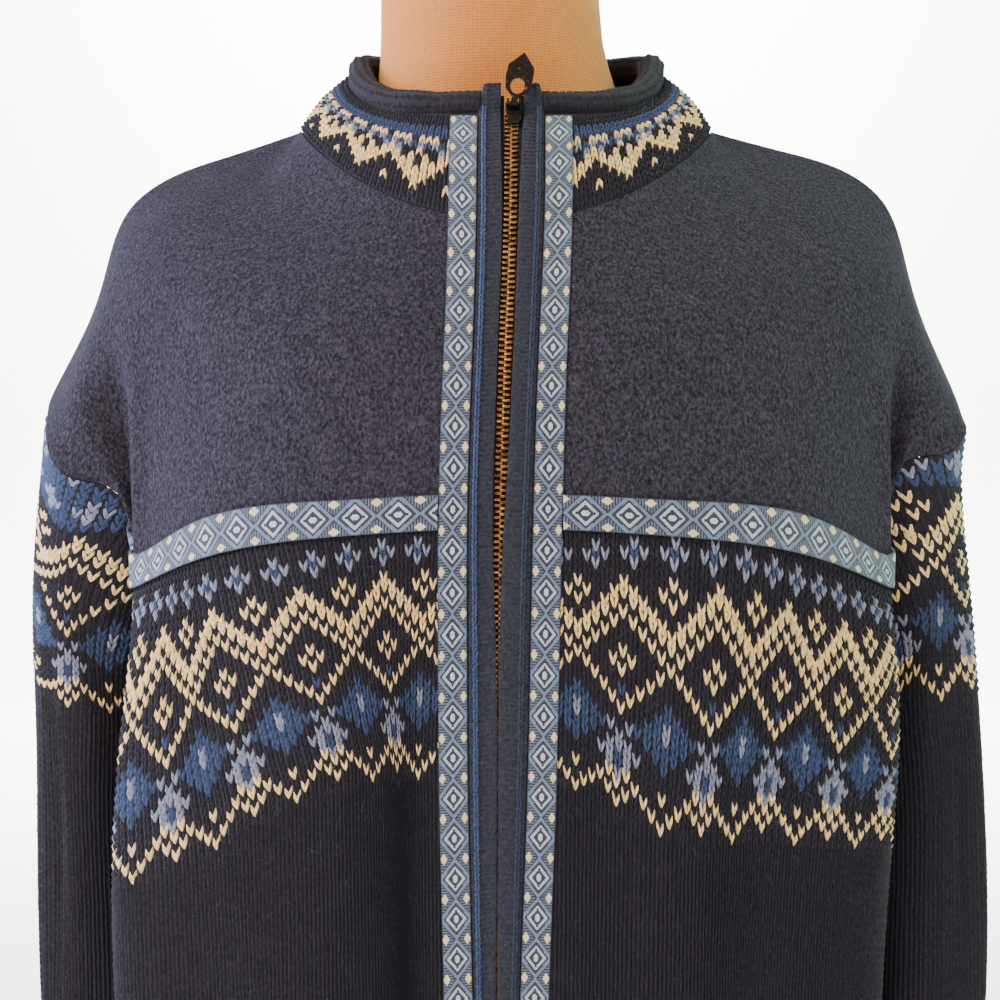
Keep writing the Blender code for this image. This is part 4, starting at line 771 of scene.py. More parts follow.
def knitted_body(word, cloth, other, start_of, end_of, lay, phase):
    """One panel under the yoke, with its stitches; start_of and end_of give its edges at any level."""
    measured = cloth.at(cloth.columns, np.full(len(cloth.columns), MEASURED_DOWN))
    distance = run_length(measured)
    distance = distance - np.interp(0, measured[:, 0], distance)

    def laid(key, u):
        return table_at(lay, key, u, "column")

    def across_of(u, v):
        share = np.clip((v - LAY_ROWS[0]) / (LAY_ROWS[1] - LAY_ROWS[0]), -0.25, 1)
        return np.interp(laid("top", u) * (1 - share) + laid("foot", u) * share, distance, cloth.columns)

    def down_of(u, v):
        band_foot = laid("down", u) + np.minimum(v, BAND_ROWS) * laid("row", u)
        return band_foot + np.maximum(v - BAND_ROWS, 0) * ROW

    downs = np.concatenate([np.linspace(YOKE_FOOT + YOKE_SEAM / 2, UNDERARM, TOP_LEVELS),
                            np.linspace(UNDERARM, HEM, LOW_LEVELS)[1:]])
    start, end = start_of(downs), end_of(downs)
    ends = [edge[TOP_LEVELS + 1] for edge in (start, end)]
    width = np.diff(np.interp(ends, cloth.columns, distance))[0]
    across = between(start, end, 2 * int(round(width / STITCH)) + 1)
    down = np.broadcast_to(downs[:, None], across.shape)
    seam = (np.abs(across) >= 1 - 1e-6) & (down >= UNDERARM - 1e-6)
    faces = panel_faces(cloth, other, across, down, seam, -UNDER_STITCHES, KNIT)
    body = cloth_wall(f"knit_{word}", *faces, [navy], np.stack([across, down], -1))

    rows = int((HEM - lay[0].down) / ROW) + 8
    u, v = stitch_places(np.arange(lay[0].column, lay[-1].column), np.arange(rows))
    place, down = across_of(u, v), down_of(u, v)
    kept = place > np.interp(down, downs, start) + EDGE_MARGIN
    kept &= place < np.interp(down, downs, end) - EDGE_MARGIN
    kept &= (down < HEM - 0.5 * ROW) & (down > YOKE_FOOT + ROW)
    # Nothing is knitted up under the woven ribbon, where it would not show.
    from_closure = np.abs(cloth.at(place, down)[..., 0] - table_at(CLOSURE, "middle", down))
    kept &= (cloth is back_cloth) | (from_closure > table_at(CLOSURE, "half", down) + RIBBON_COVERS)
    u, v = u[kept], v[kept]
    in_band = v < BAND_ROWS
    band_stations, plain_stations = ((3, 3), (2, 3)) if cloth is back_cloth else ((3, 4), (3, 3))
    colours = charted(CHART, u[in_band] + phase * (v[in_band] < FLOWER_ROWS), v[in_band])
    band = stitch_mesh(f"knit_{word}_band", cloth, across_of, down_of, u[in_band], v[in_band], colours,
                       band_stations)
    plain = stitch_mesh(f"knit_{word}_plain", cloth, across_of, down_of, u[~in_band], v[~in_band],
                        stations=plain_stations, leg=PLAIN_LEG)
    worn([body, band, plain], f"body_{word}")


def side_edge(side):
    return lambda downs: np.full(len(downs), float(side))


def closure_edge(side):
    return lambda downs: front_across(closure_x(downs, side, "half") + side * SEAM, downs)


knitted_body("front_left", front_cloth, back_cloth, side_edge(-1), closure_edge(-1), LAY_LEFT, 1)
knitted_body("front_right", front_cloth, back_cloth, closure_edge(1), side_edge(1), LAY_RIGHT, 0)
knitted_body("back", back_cloth, front_cloth, side_edge(-1), side_edge(1), LAY_BACK, 0)

# ------------------------------
# Sleeves. Tubes of the same yarn, set into the dropped armholes and hanging empty; the pattern
# starts on a blue ground under the seam and ends just below the level of the underarm.
ARMHOLE_GAP = 0.0006
# The sleeve's rings, from the armhole down to the cuff
SleeveRing = namedtuple("SleeveRing", "down outer_z inner_z outer_left outer_right inner_x front_y back_y")
SLEEVE_RINGS = (
    SleeveRing(0.030, .020, -.104, .2505, .2455, .1800, -.044, .056),
    SleeveRing(0.080, -.035, -.135, .2550, .2495, .1840, -.043, .058),
    SleeveRing(0.145, -.100, -.175, .2545, .2550, .1845, -.044, .062),
    SleeveRing(0.220, -.170, -.220, .2525, .2585, .1840, -.042, .063),
    SleeveRing(0.300, -.260, -.280, .2515, .2600, .1830, -.038, .060),
    SleeveRing(0.385, -.350, -.357, .2495, .2560, .1840, -.032, .055),
    SleeveRing(0.465, -.432, -.432, .2450, .2480, .1860, -.025, .048),
)
SLEEVE_FOLDS = (
    Fold(0.18, 0.06, 0.120, 0.420, 0.070, 0.0030),
    Fold(0.36, -0.05, 0.100, 0.330, 0.060, -0.0035),
    Fold(0.62, 0.05, 0.180, 0.470, 0.080, 0.0030),
    Fold(1.48, 0.05, 0.150, 0.450, 0.080, -0.0040),
    Fold(1.70, -0.06, 0.080, 0.400, 0.070, 0.0030),
)
SLEEVE_CREASES = (
    Fold(0.30, 0.03, 0.060, 0.180, 0.050, -0.0016),
    Fold(0.50, 0.05, 0.050, 0.200, 0.060, 0.0018),
    Fold(0.08, 0.05, 0.200, 0.420, 0.060, -0.0022),
    Fold(0.45, -0.04, 0.280, 0.460, 0.060, -0.0020),
    Fold(1.60, 0.04, 0.060, 0.260, 0.050, 0.0018),
    Fold(1.82, 0.05, 0.240, 0.460, 0.060, -0.0020),
)
SLEEVE_COLUMNS = 50
SLEEVE_CHART = ("bbbb", "bbbb", "bbgb", "bggg", "bbgb", "bbbb", "bbbb", "gbbb", "ggbg", "gbbb", "bbbb",
                "....") + CHART[FLOWER_ROWS:]
CUFF = -0.431  # the height over the chest line at which the stitches end
# How the rows of stitches lie on each sleeve: the height of the first one, how tall they stand, how
# far they rise towards the sleeve's outer side, and the column on which the zigzag's top stands
Rows = namedtuple("Rows", "top row rise peak")
SLEEVE_LAY = {-1: Rows(0.0238, 0.00363, 0.030, 10), 1: Rows(0.0550, 0.00428, 0.0, 5)}
SEAM_ROWS, CUFF_ROWS = 0.35, 0.4  # how much of a row stays free at the seam and at the cuff
RISE_FROM = 0.3  # the cosine of the turn from which the rows rise


def armhole_ring(side):
    """Points and outward directions down an armhole's front and up its back, with their turns."""
    downs = np.concatenate([np.linspace(0, YOKE_FOOT, 34), np.linspace(YOKE_FOOT, UNDERARM, 12)[1:]])
    edge = np.full_like(downs, float(side))
    fore, aft = front.point(edge, downs), back.point(edge, downs)
    fore_out, aft_out = front_cloth.out(edge, downs), back_cloth.out(edge, downs)
    fore_out[0] = aft_out[0] = unit(fore_out[0] + aft_out[0])
    lengths = run_length(fore), run_length(aft)
    fore_turn, aft_turn = (math.pi * length / length[-1] for length in lengths)
    points = np.concatenate([fore, aft[-2::-1]])
    out = np.concatenate([fore_out, aft_out[-2::-1]])
    return points, out, np.concatenate([fore_turn, 2 * math.pi - aft_turn[-2::-1]])


def ring_at(turn, ring_turn, values):
    return np.stack([np.interp(turn, ring_turn, values[:, k]) for k in range(3)], -1)


def sleeve_cloth(side):
    """The tube, from its armhole to its cuff; turn is 0 at the outer side."""
    ring, ring_out, ring_turn = armhole_ring(side)
    turn = np.linspace(0, 2 * math.pi, 2 * SLEEVE_COLUMNS + 1)
    lines = [ring_at(turn, ring_turn, ring) - (0, 0, CHEST)]
    for level in SLEEVE_RINGS:
        outer_x = level.outer_left if side < 0 else level.outer_right
        x = side * ((outer_x + level.inner_x) / 2 + (outer_x - level.inner_x) / 2 * np.cos(turn))
        y = (level.back_y + level.front_y) / 2 - (level.back_y - level.front_y) / 2 * np.sin(turn)
        z = (level.outer_z + level.inner_z) / 2 + (level.outer_z - level.inner_z) / 2 * np.cos(turn)
        lines.append(np.stack([x, y, z], -1))
    knots = [0] + [level.down for level in SLEEVE_RINGS]
    downs = np.concatenate([np.linspace(0, knots[1], 9), np.linspace(knots[1], knots[-1], 80)[1:]])
    grid = np.einsum("ri,icd->rcd", spline_weights(knots, downs), np.array(lines)) + (0, 0, CHEST)

    def out_of(grid):
        around = grid[:, np.r_[1:len(turn), 1]] - grid[:, np.r_[-2, 0:len(turn) - 1]]
        return unit(np.cross(around, np.gradient(grid, axis=0))) * side

    out = out_of(grid)
    push = folds_at(SLEEVE_FOLDS + SLEEVE_CREASES, turn[None, :] / math.pi, downs[:, None])
    grid = grid + out * push[..., None]
    out = out_of(grid)
    wide_out = unit(ring_at(turn, ring_turn, ring_out))
    in_line = np.clip((out[0] * wide_out).sum(-1, keepdims=True), 0, 1)
    out[0] = unit(out[0] * (1 - in_line) + wide_out * in_line)
    away = unit(grid[1] - grid[0])
    aside = np.array([side * 0.7, 0, 0]) * (1 - in_line)
    grid[0] = grid[0] + unit(away + aside) * ARMHOLE_GAP
    return Cloth(turn, downs, grid, out)


def level_sleeve(cloth, lay):
    """The same tube with level rows, so that the armhole's slant cuts across the first stitches."""
    rise = lay.rise * np.clip((np.cos(cloth.columns) - RISE_FROM) / (1 - RISE_FROM), 0, 1) ** 2
    level = cloth.points[:, :, 2] - CHEST - rise
    first = math.floor((lay.top - level.max()) / lay.row)
    levels = np.arange(first, (lay.top - CUFF) / lay.row, 0.5)
    level_down = np.stack([np.interp(levels * lay.row - lay.top, -level[:, c], cloth.rows)
                           for c in range(len(cloth.columns))], 1)
    turns = np.broadcast_to(cloth.columns, level_down.shape)
    points, out = cloth.at(turns, level_down), cloth.out(turns, level_down)
    return Cloth(cloth.columns, levels, points, out), level[0]


def turn_of(u, v):
    return (u / SLEEVE_COLUMNS * 2 * math.pi) % (2 * math.pi)


def row_of(u, v):
    return v


for side, word in ((-1, "left"), (1, "right")):
    cloth, lay, name = sleeve_cloth(side), SLEEVE_LAY[side], f"knit_sleeve_{word}"
    turn, down = np.meshgrid(cloth.columns[:-1], cloth.rows)
    sleeve = cloth_wall(name, cloth.at(turn, down, -UNDER_STITCHES), cloth.at(turn, down, -KNIT), [navy],
                        np.stack([turn, down], -1), closed=True)
    level, seam_level = level_sleeve(cloth, lay)
    u, v = stitch_places(np.arange(SLEEVE_COLUMNS), np.arange(level.rows[0], int(level.rows[-1])))
    column = np.round(u / SLEEVE_COLUMNS * (len(cloth.columns) - 1)).astype(int)
    kept = v > (lay.top - seam_level[column]) / lay.row + SEAM_ROWS
    kept &= lay.top - v * lay.row > CUFF + CUFF_ROWS * lay.row
    u, v = u[kept], v[kept]
    in_band = v < len(SLEEVE_CHART)
    colours = charted(SLEEVE_CHART, u[in_band] - lay.peak, np.maximum(v[in_band], 0))
    stitches = [stitch_mesh(name + "_band", level, turn_of, row_of, u[in_band], v[in_band], colours,
                            (3, 3)),
                stitch_mesh(name + "_plain", level, turn_of, row_of, u[~in_band], v[~in_band],
                            stations=(2, 3), leg=PLAIN_LEG)]
    worn([sleeve, *stitches], f"sleeve_{word}")

# ------------------------------
# Collar. A stranded band is picked up round the neckline and lies out on the shoulders; its
# upper edge runs on in plain navy and rolls over into a thick, round edge, with no hem.
COLLAR_KNIT = 0.0026
COLLAR_GAP = 0.0007
COLLAR_BULGE = 0.003
ROLL_RADIUS = 0.0065
ROLL_TUCK = 0.0012  # how far the roll's ends run in under the plackets
# From under the roll to the foot. It is knitted away from the neckline, so its stitches point up.
COLLAR_CHART = (
    "........", "........", "bbbbbbbb", "bbbbbbbb", "ccc.ccc.", "gbgbgbgb", "cg..c..g", "cc.c.c.c",
    ".ccc.ccc", "..ccccc.", "...ccc..", "c...c...", "........", "........",
)
COLLAR_COLUMNS = 144
COLLAR_PHASE = (6, 4)  # the column of the chart at which the left and the right end start
EDGE_ROWS = 0.35  # how much of a row stays free at each edge of the band
ROLL_COLUMNS, ROLL_ROWS, ROLL_SIDES = 118, 9, 24
ROLL_CROWN, ROLL_SUNK = 0.0009, 0.0007
SMALL_TURN, SMALL_SHARE = 0.01, 0.01  # the small steps that find the band's slope


class Collar:
    """The patterned band: share runs from 0 at its foot on the shoulders to 1 under the roll."""

    def leaning(self, turn):
        around = ring_point(COLLAR_FOOT, turn + SMALL_TURN) - ring_point(COLLAR_FOOT, turn - SMALL_TURN)
        return unit(np.cross(around, ring_point(ROLL_CENTRE, turn) - ring_point(COLLAR_FOOT, turn)))

    def low(self, turn, share):
        foot, roll = ring_point(COLLAR_FOOT, turn), ring_point(ROLL_CENTRE, turn)
        out = self.leaning(turn)
        top = roll + unit(foot - roll) * (ROLL_RADIUS + COLLAR_GAP) + out * COLLAR_KNIT / 2
        bulge = COLLAR_BULGE * np.sin(math.pi * np.clip(share, 0, 1))
        return foot + (top - foot) * share[..., None] + out * bulge[..., None]

    def point(self, turn, share):
        return self.low(turn, share) + (0, 0, CHEST)

    def normal(self, turn, share):
        around = self.low(turn + SMALL_TURN, share) - self.low(turn - SMALL_TURN, share)
        upwards = self.low(turn, share + SMALL_SHARE) - self.low(turn, share - SMALL_SHARE)
        return unit(np.cross(around, upwards))

    def turn_at(self, x, share):
        tries = np.linspace(-0.6, 0.6, 241)
        lines = self.low(*np.broadcast_arrays(tries[None, :], np.asarray(share)[:, None]))[..., 0]
        return np.array([np.interp(wanted, line, tries) for wanted, line in zip(x, lines)])


collar = Collar()
BAND_HEIGHT = float(np.linalg.norm(np.diff(collar.low(np.zeros(2), np.array([0.0, 1.0])), axis=0)))
BAND_REACH = 1.02  # its upper edge runs a little way in under the roll
shares = np.linspace(0, BAND_REACH, 33)
first, last = (collar.turn_at(closure_x(-shares * BAND_HEIGHT, side, "half") + side * SEAM, shares)
               for side in (1, -1))
turn = between(first, last + 2 * math.pi, 2 * COLLAR_COLUMNS + 1)
share = np.broadcast_to(shares[:, None], turn.shape)
points = collar.point(turn, share)
points[0] = points[0] + unit(points[1] - points[0]) * COLLAR_GAP
band_cloth = Cloth(np.linspace(0, 1, turn.shape[1]), shares, points, collar.normal(turn, share))
place, down = np.meshgrid(band_cloth.columns, shares)
band = cloth_wall("knit_collar_band", band_cloth.at(place, down, -UNDER_STITCHES),
                  band_cloth.at(place, down, -COLLAR_KNIT), [navy], np.stack([place, down], -1))
rows = len(COLLAR_CHART)
u, v = stitch_places(np.arange(COLLAR_COLUMNS), np.arange(rows))
colours = charted(COLLAR_CHART[::-1], u - np.where(u < COLLAR_COLUMNS / 2, *COLLAR_PHASE), v)
stitches = stitch_mesh("knit_collar_stitches", band_cloth,
                       lambda u, v: np.clip(u / COLLAR_COLUMNS, 0, 1),
                       lambda u, v: np.clip((v + EDGE_ROWS) / (rows + 2 * EDGE_ROWS), 0, 1), u, v, colours)
worn([band, stitches], "collar_band")

edges = (closure_x(CLOSURE[0].down, side, "half") - side * ROLL_TUCK for side in (-1, 1))
ends = [math.asin(edge / ROLL_CENTRE.half_width) for edge in edges]
turn = np.linspace(ends[1], ends[0] + 2 * math.pi, 241)
centre = ring_point(ROLL_CENTRE, turn) + (0, 0, CHEST)
along = unit(np.gradient(centre, axis=0))
sideways = unit(np.cross(along, np.array([0, 0, 1.0])))
over = np.cross(sideways, along)
angles = np.linspace(0, 2 * math.pi, ROLL_SIDES + 1)
uneven = 1 + 0.05 * np.sin(turn * 9 + 1) + 0.035 * np.sin(turn * 17)
tube_out = np.cos(angles)[:, None, None] * sideways + np.sin(angles)[:, None, None] * over
tube = centre + tube_out * (ROLL_RADIUS * uneven)[:, None]
roll_cloth = Cloth(np.linspace(0, 1, len(turn)), angles, tube, tube_out)
index = np.arange(ROLL_SIDES * len(turn)).reshape(ROLL_SIDES, len(turn))
faces = quads(np.concatenate([index, index[:1]])) + [index[:, 0].tolist(), index[::-1, -1].tolist()]
roll = new_piece("knit_collar_roll", tube[:-1], faces, [navy], sharp=60, straighten=True)
u, v = stitch_places(np.arange(ROLL_COLUMNS), np.arange(ROLL_ROWS))
stitches = stitch_mesh("knit_roll_stitches", roll_cloth, lambda u, v: np.clip(u / ROLL_COLUMNS, 0, 1),
                       lambda u, v: (v / ROLL_ROWS * 2 * math.pi) % (2 * math.pi), u, v,
                       stations=(3, 3), crown=ROLL_CROWN, sunk=ROLL_SUNK)
worn([roll, stitches], "collar_roll")

# ------------------------------
# Plackets. Two fine facings knitted crosswise in navy, folded to stand beside the zip; a row of
# chain stitch in thicker yarn runs up each of them and holds the zip's tape behind.
PLACKET = 0.0026
PLACKET_RAISED = 0.0010
PLACKET_TOP = 0.0150
RIB = 0.0024
CHAIN_STITCH = 0.0026
RIBBON_WIDTH = 0.0136
COLLAR_BLEND = 0.006  # the height over which the plackets' tops turn upright
NECKLINE_BLEND = 0.016  # the length over which they turn from the collar band to the fronts
RIB_HEIGHT = 0.00042
PLACKET_NARROWED = 0.72  # the share of their width that is left at the rounded tops
CORD_SHARE, CORD_WIDTH = 0.74, 0.0027  # where across a placket its cord runs, and how wide it is
CORD_CROWN, CORD_SUNK = 0.0026, -0.0006
CORD_START, CORD_END = 0.012, 0.002  # below the placket's top, and above its foot
closure_top = -(BAND_HEIGHT + PLACKET_TOP)


def closure_points(x, down):
    """Points and outward directions beside the zip, down the collar band and the fronts."""
    shape = x.shape
    x, down = x.ravel(), down.ravel()
    share = np.clip(-down / BAND_HEIGHT, 0, 1)
    turn = collar.turn_at(x, share)
    on_band, band_out = collar.point(turn, share), collar.normal(turn, share)
    past = np.clip(-down - BAND_HEIGHT, 0, None)[:, None]
    on_band = on_band + past * np.array([0, 0.05, 1.0])
    blend = np.clip(past / COLLAR_BLEND, 0, 1)
    band_out = unit(band_out * (1 - blend) + np.array([0, -1.0, 0]) * blend)
    below = np.maximum(down, 0)
    across = front_across(x, below)
    on_panel, panel_out = front_cloth.at(across, below), front_cloth.out(across, below)
    mix = np.clip(0.5 - down / NECKLINE_BLEND, 0, 1)[:, None]
    out = unit(panel_out * (1 - mix) + band_out * mix)
    return np.where(down[:, None] < 0, on_band, on_panel).reshape(*shape, 3), out.reshape(*shape, 3)


closure_columns = np.linspace(-0.038, 0.036, 25)
closure_rows = np.concatenate([np.linspace(closure_top, 0.012, 46), np.linspace(0.012, HEM, 150)[1:]])
closure_cloth = Cloth(closure_columns, closure_rows,
                      *closure_points(*np.meshgrid(closure_columns, closure_rows)))


def cord_down(u, v):
    return np.clip(closure_top + CORD_START + v * CHAIN_STITCH, closure_top, HEM)


fine = yarn("fine_navy_yarn", (50, 49, 57), (98, 97, 108))
cord_left = yarn("bright_blue_cord", (74, 88, 124), (120, 132, 160))
cord_right = yarn("dim_blue_cord", (60, 66, 82), (104, 110, 126))
# The placket's section from the zip outwards: share of its width, share of its raised height
PROFILE = ((0.0, 0.3), (0.04, 0.7), (0.10, 1.0), (0.22, 1.05), (0.36, 1.0), (0.50, 1.0),
           (0.62, 0.95), (0.68, 1.2), (0.74, 1.5), (0.80, 1.2), (0.86, 0.95), (0.95, 0.8), (1.0, 0.3))
share, height = (np.array(column) for column in zip(*PROFILE))
downs = np.linspace(closure_top, HEM, 1113)
for side, word, cord in ((-1, "left", cord_left), (1, "right", cord_right)):
    inner_x = closure_x(downs, side, f"gap_{word}")
    rounding = np.sqrt(np.clip((downs - closure_top) / PLACKET_TOP, 0, 1))
    width = closure_x(downs, side, "half") - inner_x
    width = width * (PLACKET_NARROWED + (1 - PLACKET_NARROWED) * rounding)
    x = inner_x[:, None] + width[:, None] * share
    down = np.broadcast_to(downs[:, None], x.shape)
    wavy = down + 0.0004 * np.sin(share * 9)
    ribs = RIB_HEIGHT * np.cos(2 * math.pi * wavy / RIB) * np.sin(math.pi * share) ** 0.4
    outer = closure_cloth.at(x, down, PLACKET_RAISED * height + ribs - 0.0002)
    inner = closure_cloth.at(x, down, PLACKET_RAISED - PLACKET)
    placket = cloth_wall(f"knit_placket_{word}", outer, inner, [fine], np.stack([x, down], -1))
    line = inner_x + width * CORD_SHARE

    def cord_x(u, v, line=line):
        return np.interp(cord_down(u, v), downs, line) + (u - 0.5) * CORD_WIDTH

    links = int((HEM - closure_top - CORD_START - CORD_END) / CHAIN_STITCH)
    chain = stitch_mesh(f"cord_{word}", closure_cloth, cord_x, cord_down, np.full(links, 0.5),
                        np.arange(links) + 0.5, crown=CORD_CROWN, sunk=CORD_SUNK)
    chain.data.materials[0] = cord.material
    worn([placket, chain], f"placket_{word}")

# ------------------------------
# Woven ribbons. Jacquard braid in blues with cream lozenges along both selvedges, machine sewn
# flat beside the zip and over the seam between the felted yoke and the knitted body.
RIBBON = 0.0011
RIBBON_LIFT = 0.0013  # of the one across, over the panels
RIBBON_TOP, RIBBON_FOOT = 0.1390, 0.1560
REPEAT_UP, REPEAT_ACROSS = 0.0195, 0.0204
PUCKER = 0.00018  # how far the stitched edges wave
PUCKER_UP, PUCKER_ACROSS = 0.0071, 0.0073  # from one wave to the next
RIBBON_CROWN, RIBBON_SUNK = 0.00022, 0.0002  # how far its middle swells and its edges are drawn in
RIBBON_START = 0.003  # how far under the collar band's top it starts
FIRST_REPEAT = 40  # of the figure, so that its count is above zero on the collar too
THREADS_ACROSS, THREADS_ALONG = 13.0, 30.0  # in half the width, and in one repeat


def braid_finish(name):
    """Concentric diamonds between crossing lines."""
    made = Finish(name, 0.82, Sheen_Weight=0.2, Specular_IOR_Level=0.25)
    across, along, _ = made.parts(made.add("UVMap", {"uv_map": "cloth"}))
    thread_across, thread_along = across * THREADS_ACROSS, along * THREADS_ALONG
    stepped_across = (thread_across.math("FLOOR") + 0.5) / THREADS_ACROSS
    stepped_along = (thread_along.math("FLOOR") + 0.5) / THREADS_ALONG
    from_middle = abs(stepped_along.fraction() - 0.5) * 2.0
    ring = abs(stepped_across) * 0.88 + from_middle * 0.98
    lozenge = (abs(abs(across) - 0.75) * 1.35 + (1.0 - from_middle) * 1.15) < 0.34
    lines = (ring > 0.46) & (ring < 0.62)
    lattice = (ring > 0.80) & (ring < 1.02)
    corner = (ring > 1.12) & ((thread_along / 2.0).fraction() < 0.5)
    lit = made.noise(1500, 2)
    cloth = made.blend(shade(46, 48, 58), shade(204, 208, 216), (ring < 0.20) | lines * 0.85)
    cloth = made.blend(cloth, shade(118, 128, 150), lattice | corner * 0.7)
    cloth = made.blend(cloth, shade(244, 218, 156), lozenge)
    cloth = made.blend(cloth, shade(44, 50, 66), (abs(across) > 0.95) * 0.8)
    # Painted shade darkens the gaps between the threads, and the lit noise adds random darker specks.
    thread_gap_shade = abs(thread_along.fraction() - 0.5).rise(0.22, 0.5)
    made.colour(made.blend(cloth, shade(28, 30, 38), thread_gap_shade * 0.62 + lit.rise(0.5, 0.8) * 0.25))
    floats = abs((thread_along * math.pi).sine()) * 0.7 + abs((thread_across * math.pi).sine()) * 0.4
    return made.relief(floats + lit * 0.5 + lines * 0.5 + lozenge * 0.8 + lattice * 0.6, 0.0004, 0.9)


braid_up, braid_across = braid_finish("jacquard_braid_up"), braid_finish("jacquard_braid_across")


def braid_strip(word, outer, inner, uv, finish):
    braid = cloth_wall(f"braid_{word}", outer, inner, [finish], uv)
    worn([braid], f"ribbon_{word}")


width = np.linspace(-1, 1, 13)
swell = RIBBON - RIBBON_SUNK + RIBBON_CROWN * (1 - width**4)
downs = np.linspace(-BAND_HEIGHT + RIBBON_START, HEM, 369)
for side, word in ((-1, "left"), (1, "right")):
    start = closure_x(downs, side, "half") + side * SEAM
    pucker = PUCKER * np.sin(2 * math.pi * downs / PUCKER_UP + side)
    x = start[:, None] + side * RIBBON_WIDTH * (1 + side * width) / 2
    down = np.broadcast_to(downs[:, None], x.shape)
    outer = closure_cloth.at(x, down, SEAM + swell + pucker[:, None] * abs(width) ** 3)
    inner = closure_cloth.at(x, down, SEAM)
    uv = np.stack([np.broadcast_to(width, x.shape), down / REPEAT_UP + FIRST_REPEAT], -1)
    braid_strip(f"front_{word}", outer, inner, uv, braid_up)

beside = [closure_x(YOKE_FOOT, side, "half") + side * (RIBBON_WIDTH + 2 * SEAM) for side in (-1, 1)]
ends = front_across(beside, np.full(2, YOKE_FOOT))
RIBBON_SIDE = 1 - (1 - NECK_ACROSS) / 8
downs = RIBBON_TOP + (RIBBON_FOOT - RIBBON_TOP) * (1 + width) / 2
for word, cloth, start, end, count in (("left", front_cloth, -RIBBON_SIDE, ends[0], 81),
                                       ("right", front_cloth, ends[1], RIBBON_SIDE, 81),
                                       ("back", back_cloth, -RIBBON_SIDE, RIBBON_SIDE, 161)):
    across, down = np.meshgrid(np.linspace(start, end, count), downs)
    length = run_length(cloth.at(across[0], np.full(count, YOKE_FOOT)))
    pucker = PUCKER * np.sin(2 * math.pi * length / PUCKER_ACROSS)
    lift = RIBBON_LIFT + swell[:, None] + pucker * abs(width[:, None]) ** 3
    uv = np.stack([np.broadcast_to(width[:, None], across.shape),
                   np.broadcast_to(length / REPEAT_ACROSS, across.shape)], -1)
    braid_strip(f"yoke_{word}", cloth.at(across, down, lift), cloth.at(across, down, RIBBON_LIFT), uv,
                braid_across)

# ------------------------------
# Zip. Two woven tapes carry cast brass teeth that have darkened with wear; the slider stands at
# the top with its tab turned up, and a small box holds the foot of the chain at the hem.
TOOTH_PITCH = 0.0029
TAPE = 0.0008
CHAIN_HALF_WIDTH = 0.0033
TAPE_SHOWN = 0.009
TAPE_START, TAPE_END = 0.006, 0.015  # below the closure's top, and above the hem
TOOTH = (0.0038, 0.00138, 0.0025)  # across, along and through the chain
TOOTH_EASED = 0.00034
TOOTH_FROM_MIDDLE = 0.00135
TOOTH_TURN = 0.02  # how far teeth lean to and fro along the chain
TEETH_START, TEETH_END = 0.0095, 0.014  # below the closure's top, and above the hem
# How far the teeth lie under the cloth's line, and how much deeper from where to where
CHAIN_TOP, CHAIN_SUNK, SINK_START, SINK_LENGTH = 0.0004, 0.0016, 0.055, 0.045
NOSE, NOSE_THINNED = 0.0019, 0.25
EASED = 0.00018  # the slider's, the pull's and the box's edges
brass = Finish("darkened_brass", Metallic=1.0)
tarnish = brass.noise(260, 5, None, 0.65)
rubbed = brass.noise(1500, 3)
metal = brass.blend(shade(62, 44, 32), shade(168, 112, 66), tarnish.rise(0.34, 0.62))
brass.colour(brass.blend(metal, shade(236, 184, 120), rubbed.rise(0.50, 0.70) * 0.6))
brass.set("Roughness", tarnish * 0.3 + 0.22)
brass.relief(rubbed, 0.00006)

bronze = Finish("dark_bronze", Metallic=1.0)
highlight_and_polish = bronze.noise(420, 4, None, 0.6)
# Copper patches strewn at random in its colour are painted highlights; the same noise varies its roughness
# and bumps.
bronze.colour(bronze.blend(shade(46, 38, 35), shade(196, 136, 92), highlight_and_polish.rise(0.56, 0.74) * 0.35))
bronze.set("Roughness", highlight_and_polish * 0.25 + 0.26)
bronze.relief(highlight_and_polish, 0.00005)

woven = Finish("zip_tape_twill", 0.9, Specular_IOR_Level=0.2)
x, y, z = woven.parts(woven.place())
twill = ((z + abs(x)) * WEFT).sine() * 0.5 + 0.5
woven.colour(woven.blend(shade(16, 18, 26), shade(34, 38, 52), twill))
woven.relief(twill, 0.0002)
downs = np.linspace(closure_top + TAPE_START, HEM - TAPE_END, 221)
middle = table_at(CLOSURE, "middle", downs)
near = CHAIN_HALF_WIDTH + SEAM
far = np.minimum(near + TAPE_SHOWN, table_at(CLOSURE, "half", downs) - SEAM)
under = PLACKET_RAISED - PLACKET - SEAM
for side, word in ((-1, "left"), (1, "right")):
    x = middle[:, None] + side * (near + (far - near)[:, None] * np.linspace(0, 1, 5))
    down = np.broadcast_to(downs[:, None], x.shape)
    tape = cloth_wall(f"zip_tape_twill_{word}", closure_cloth.at(x, down, under),
                      closure_cloth.at(x, down, under - TAPE), [woven], np.stack([x, down], -1))
    worn([tape], f"zip_tape_{word}")

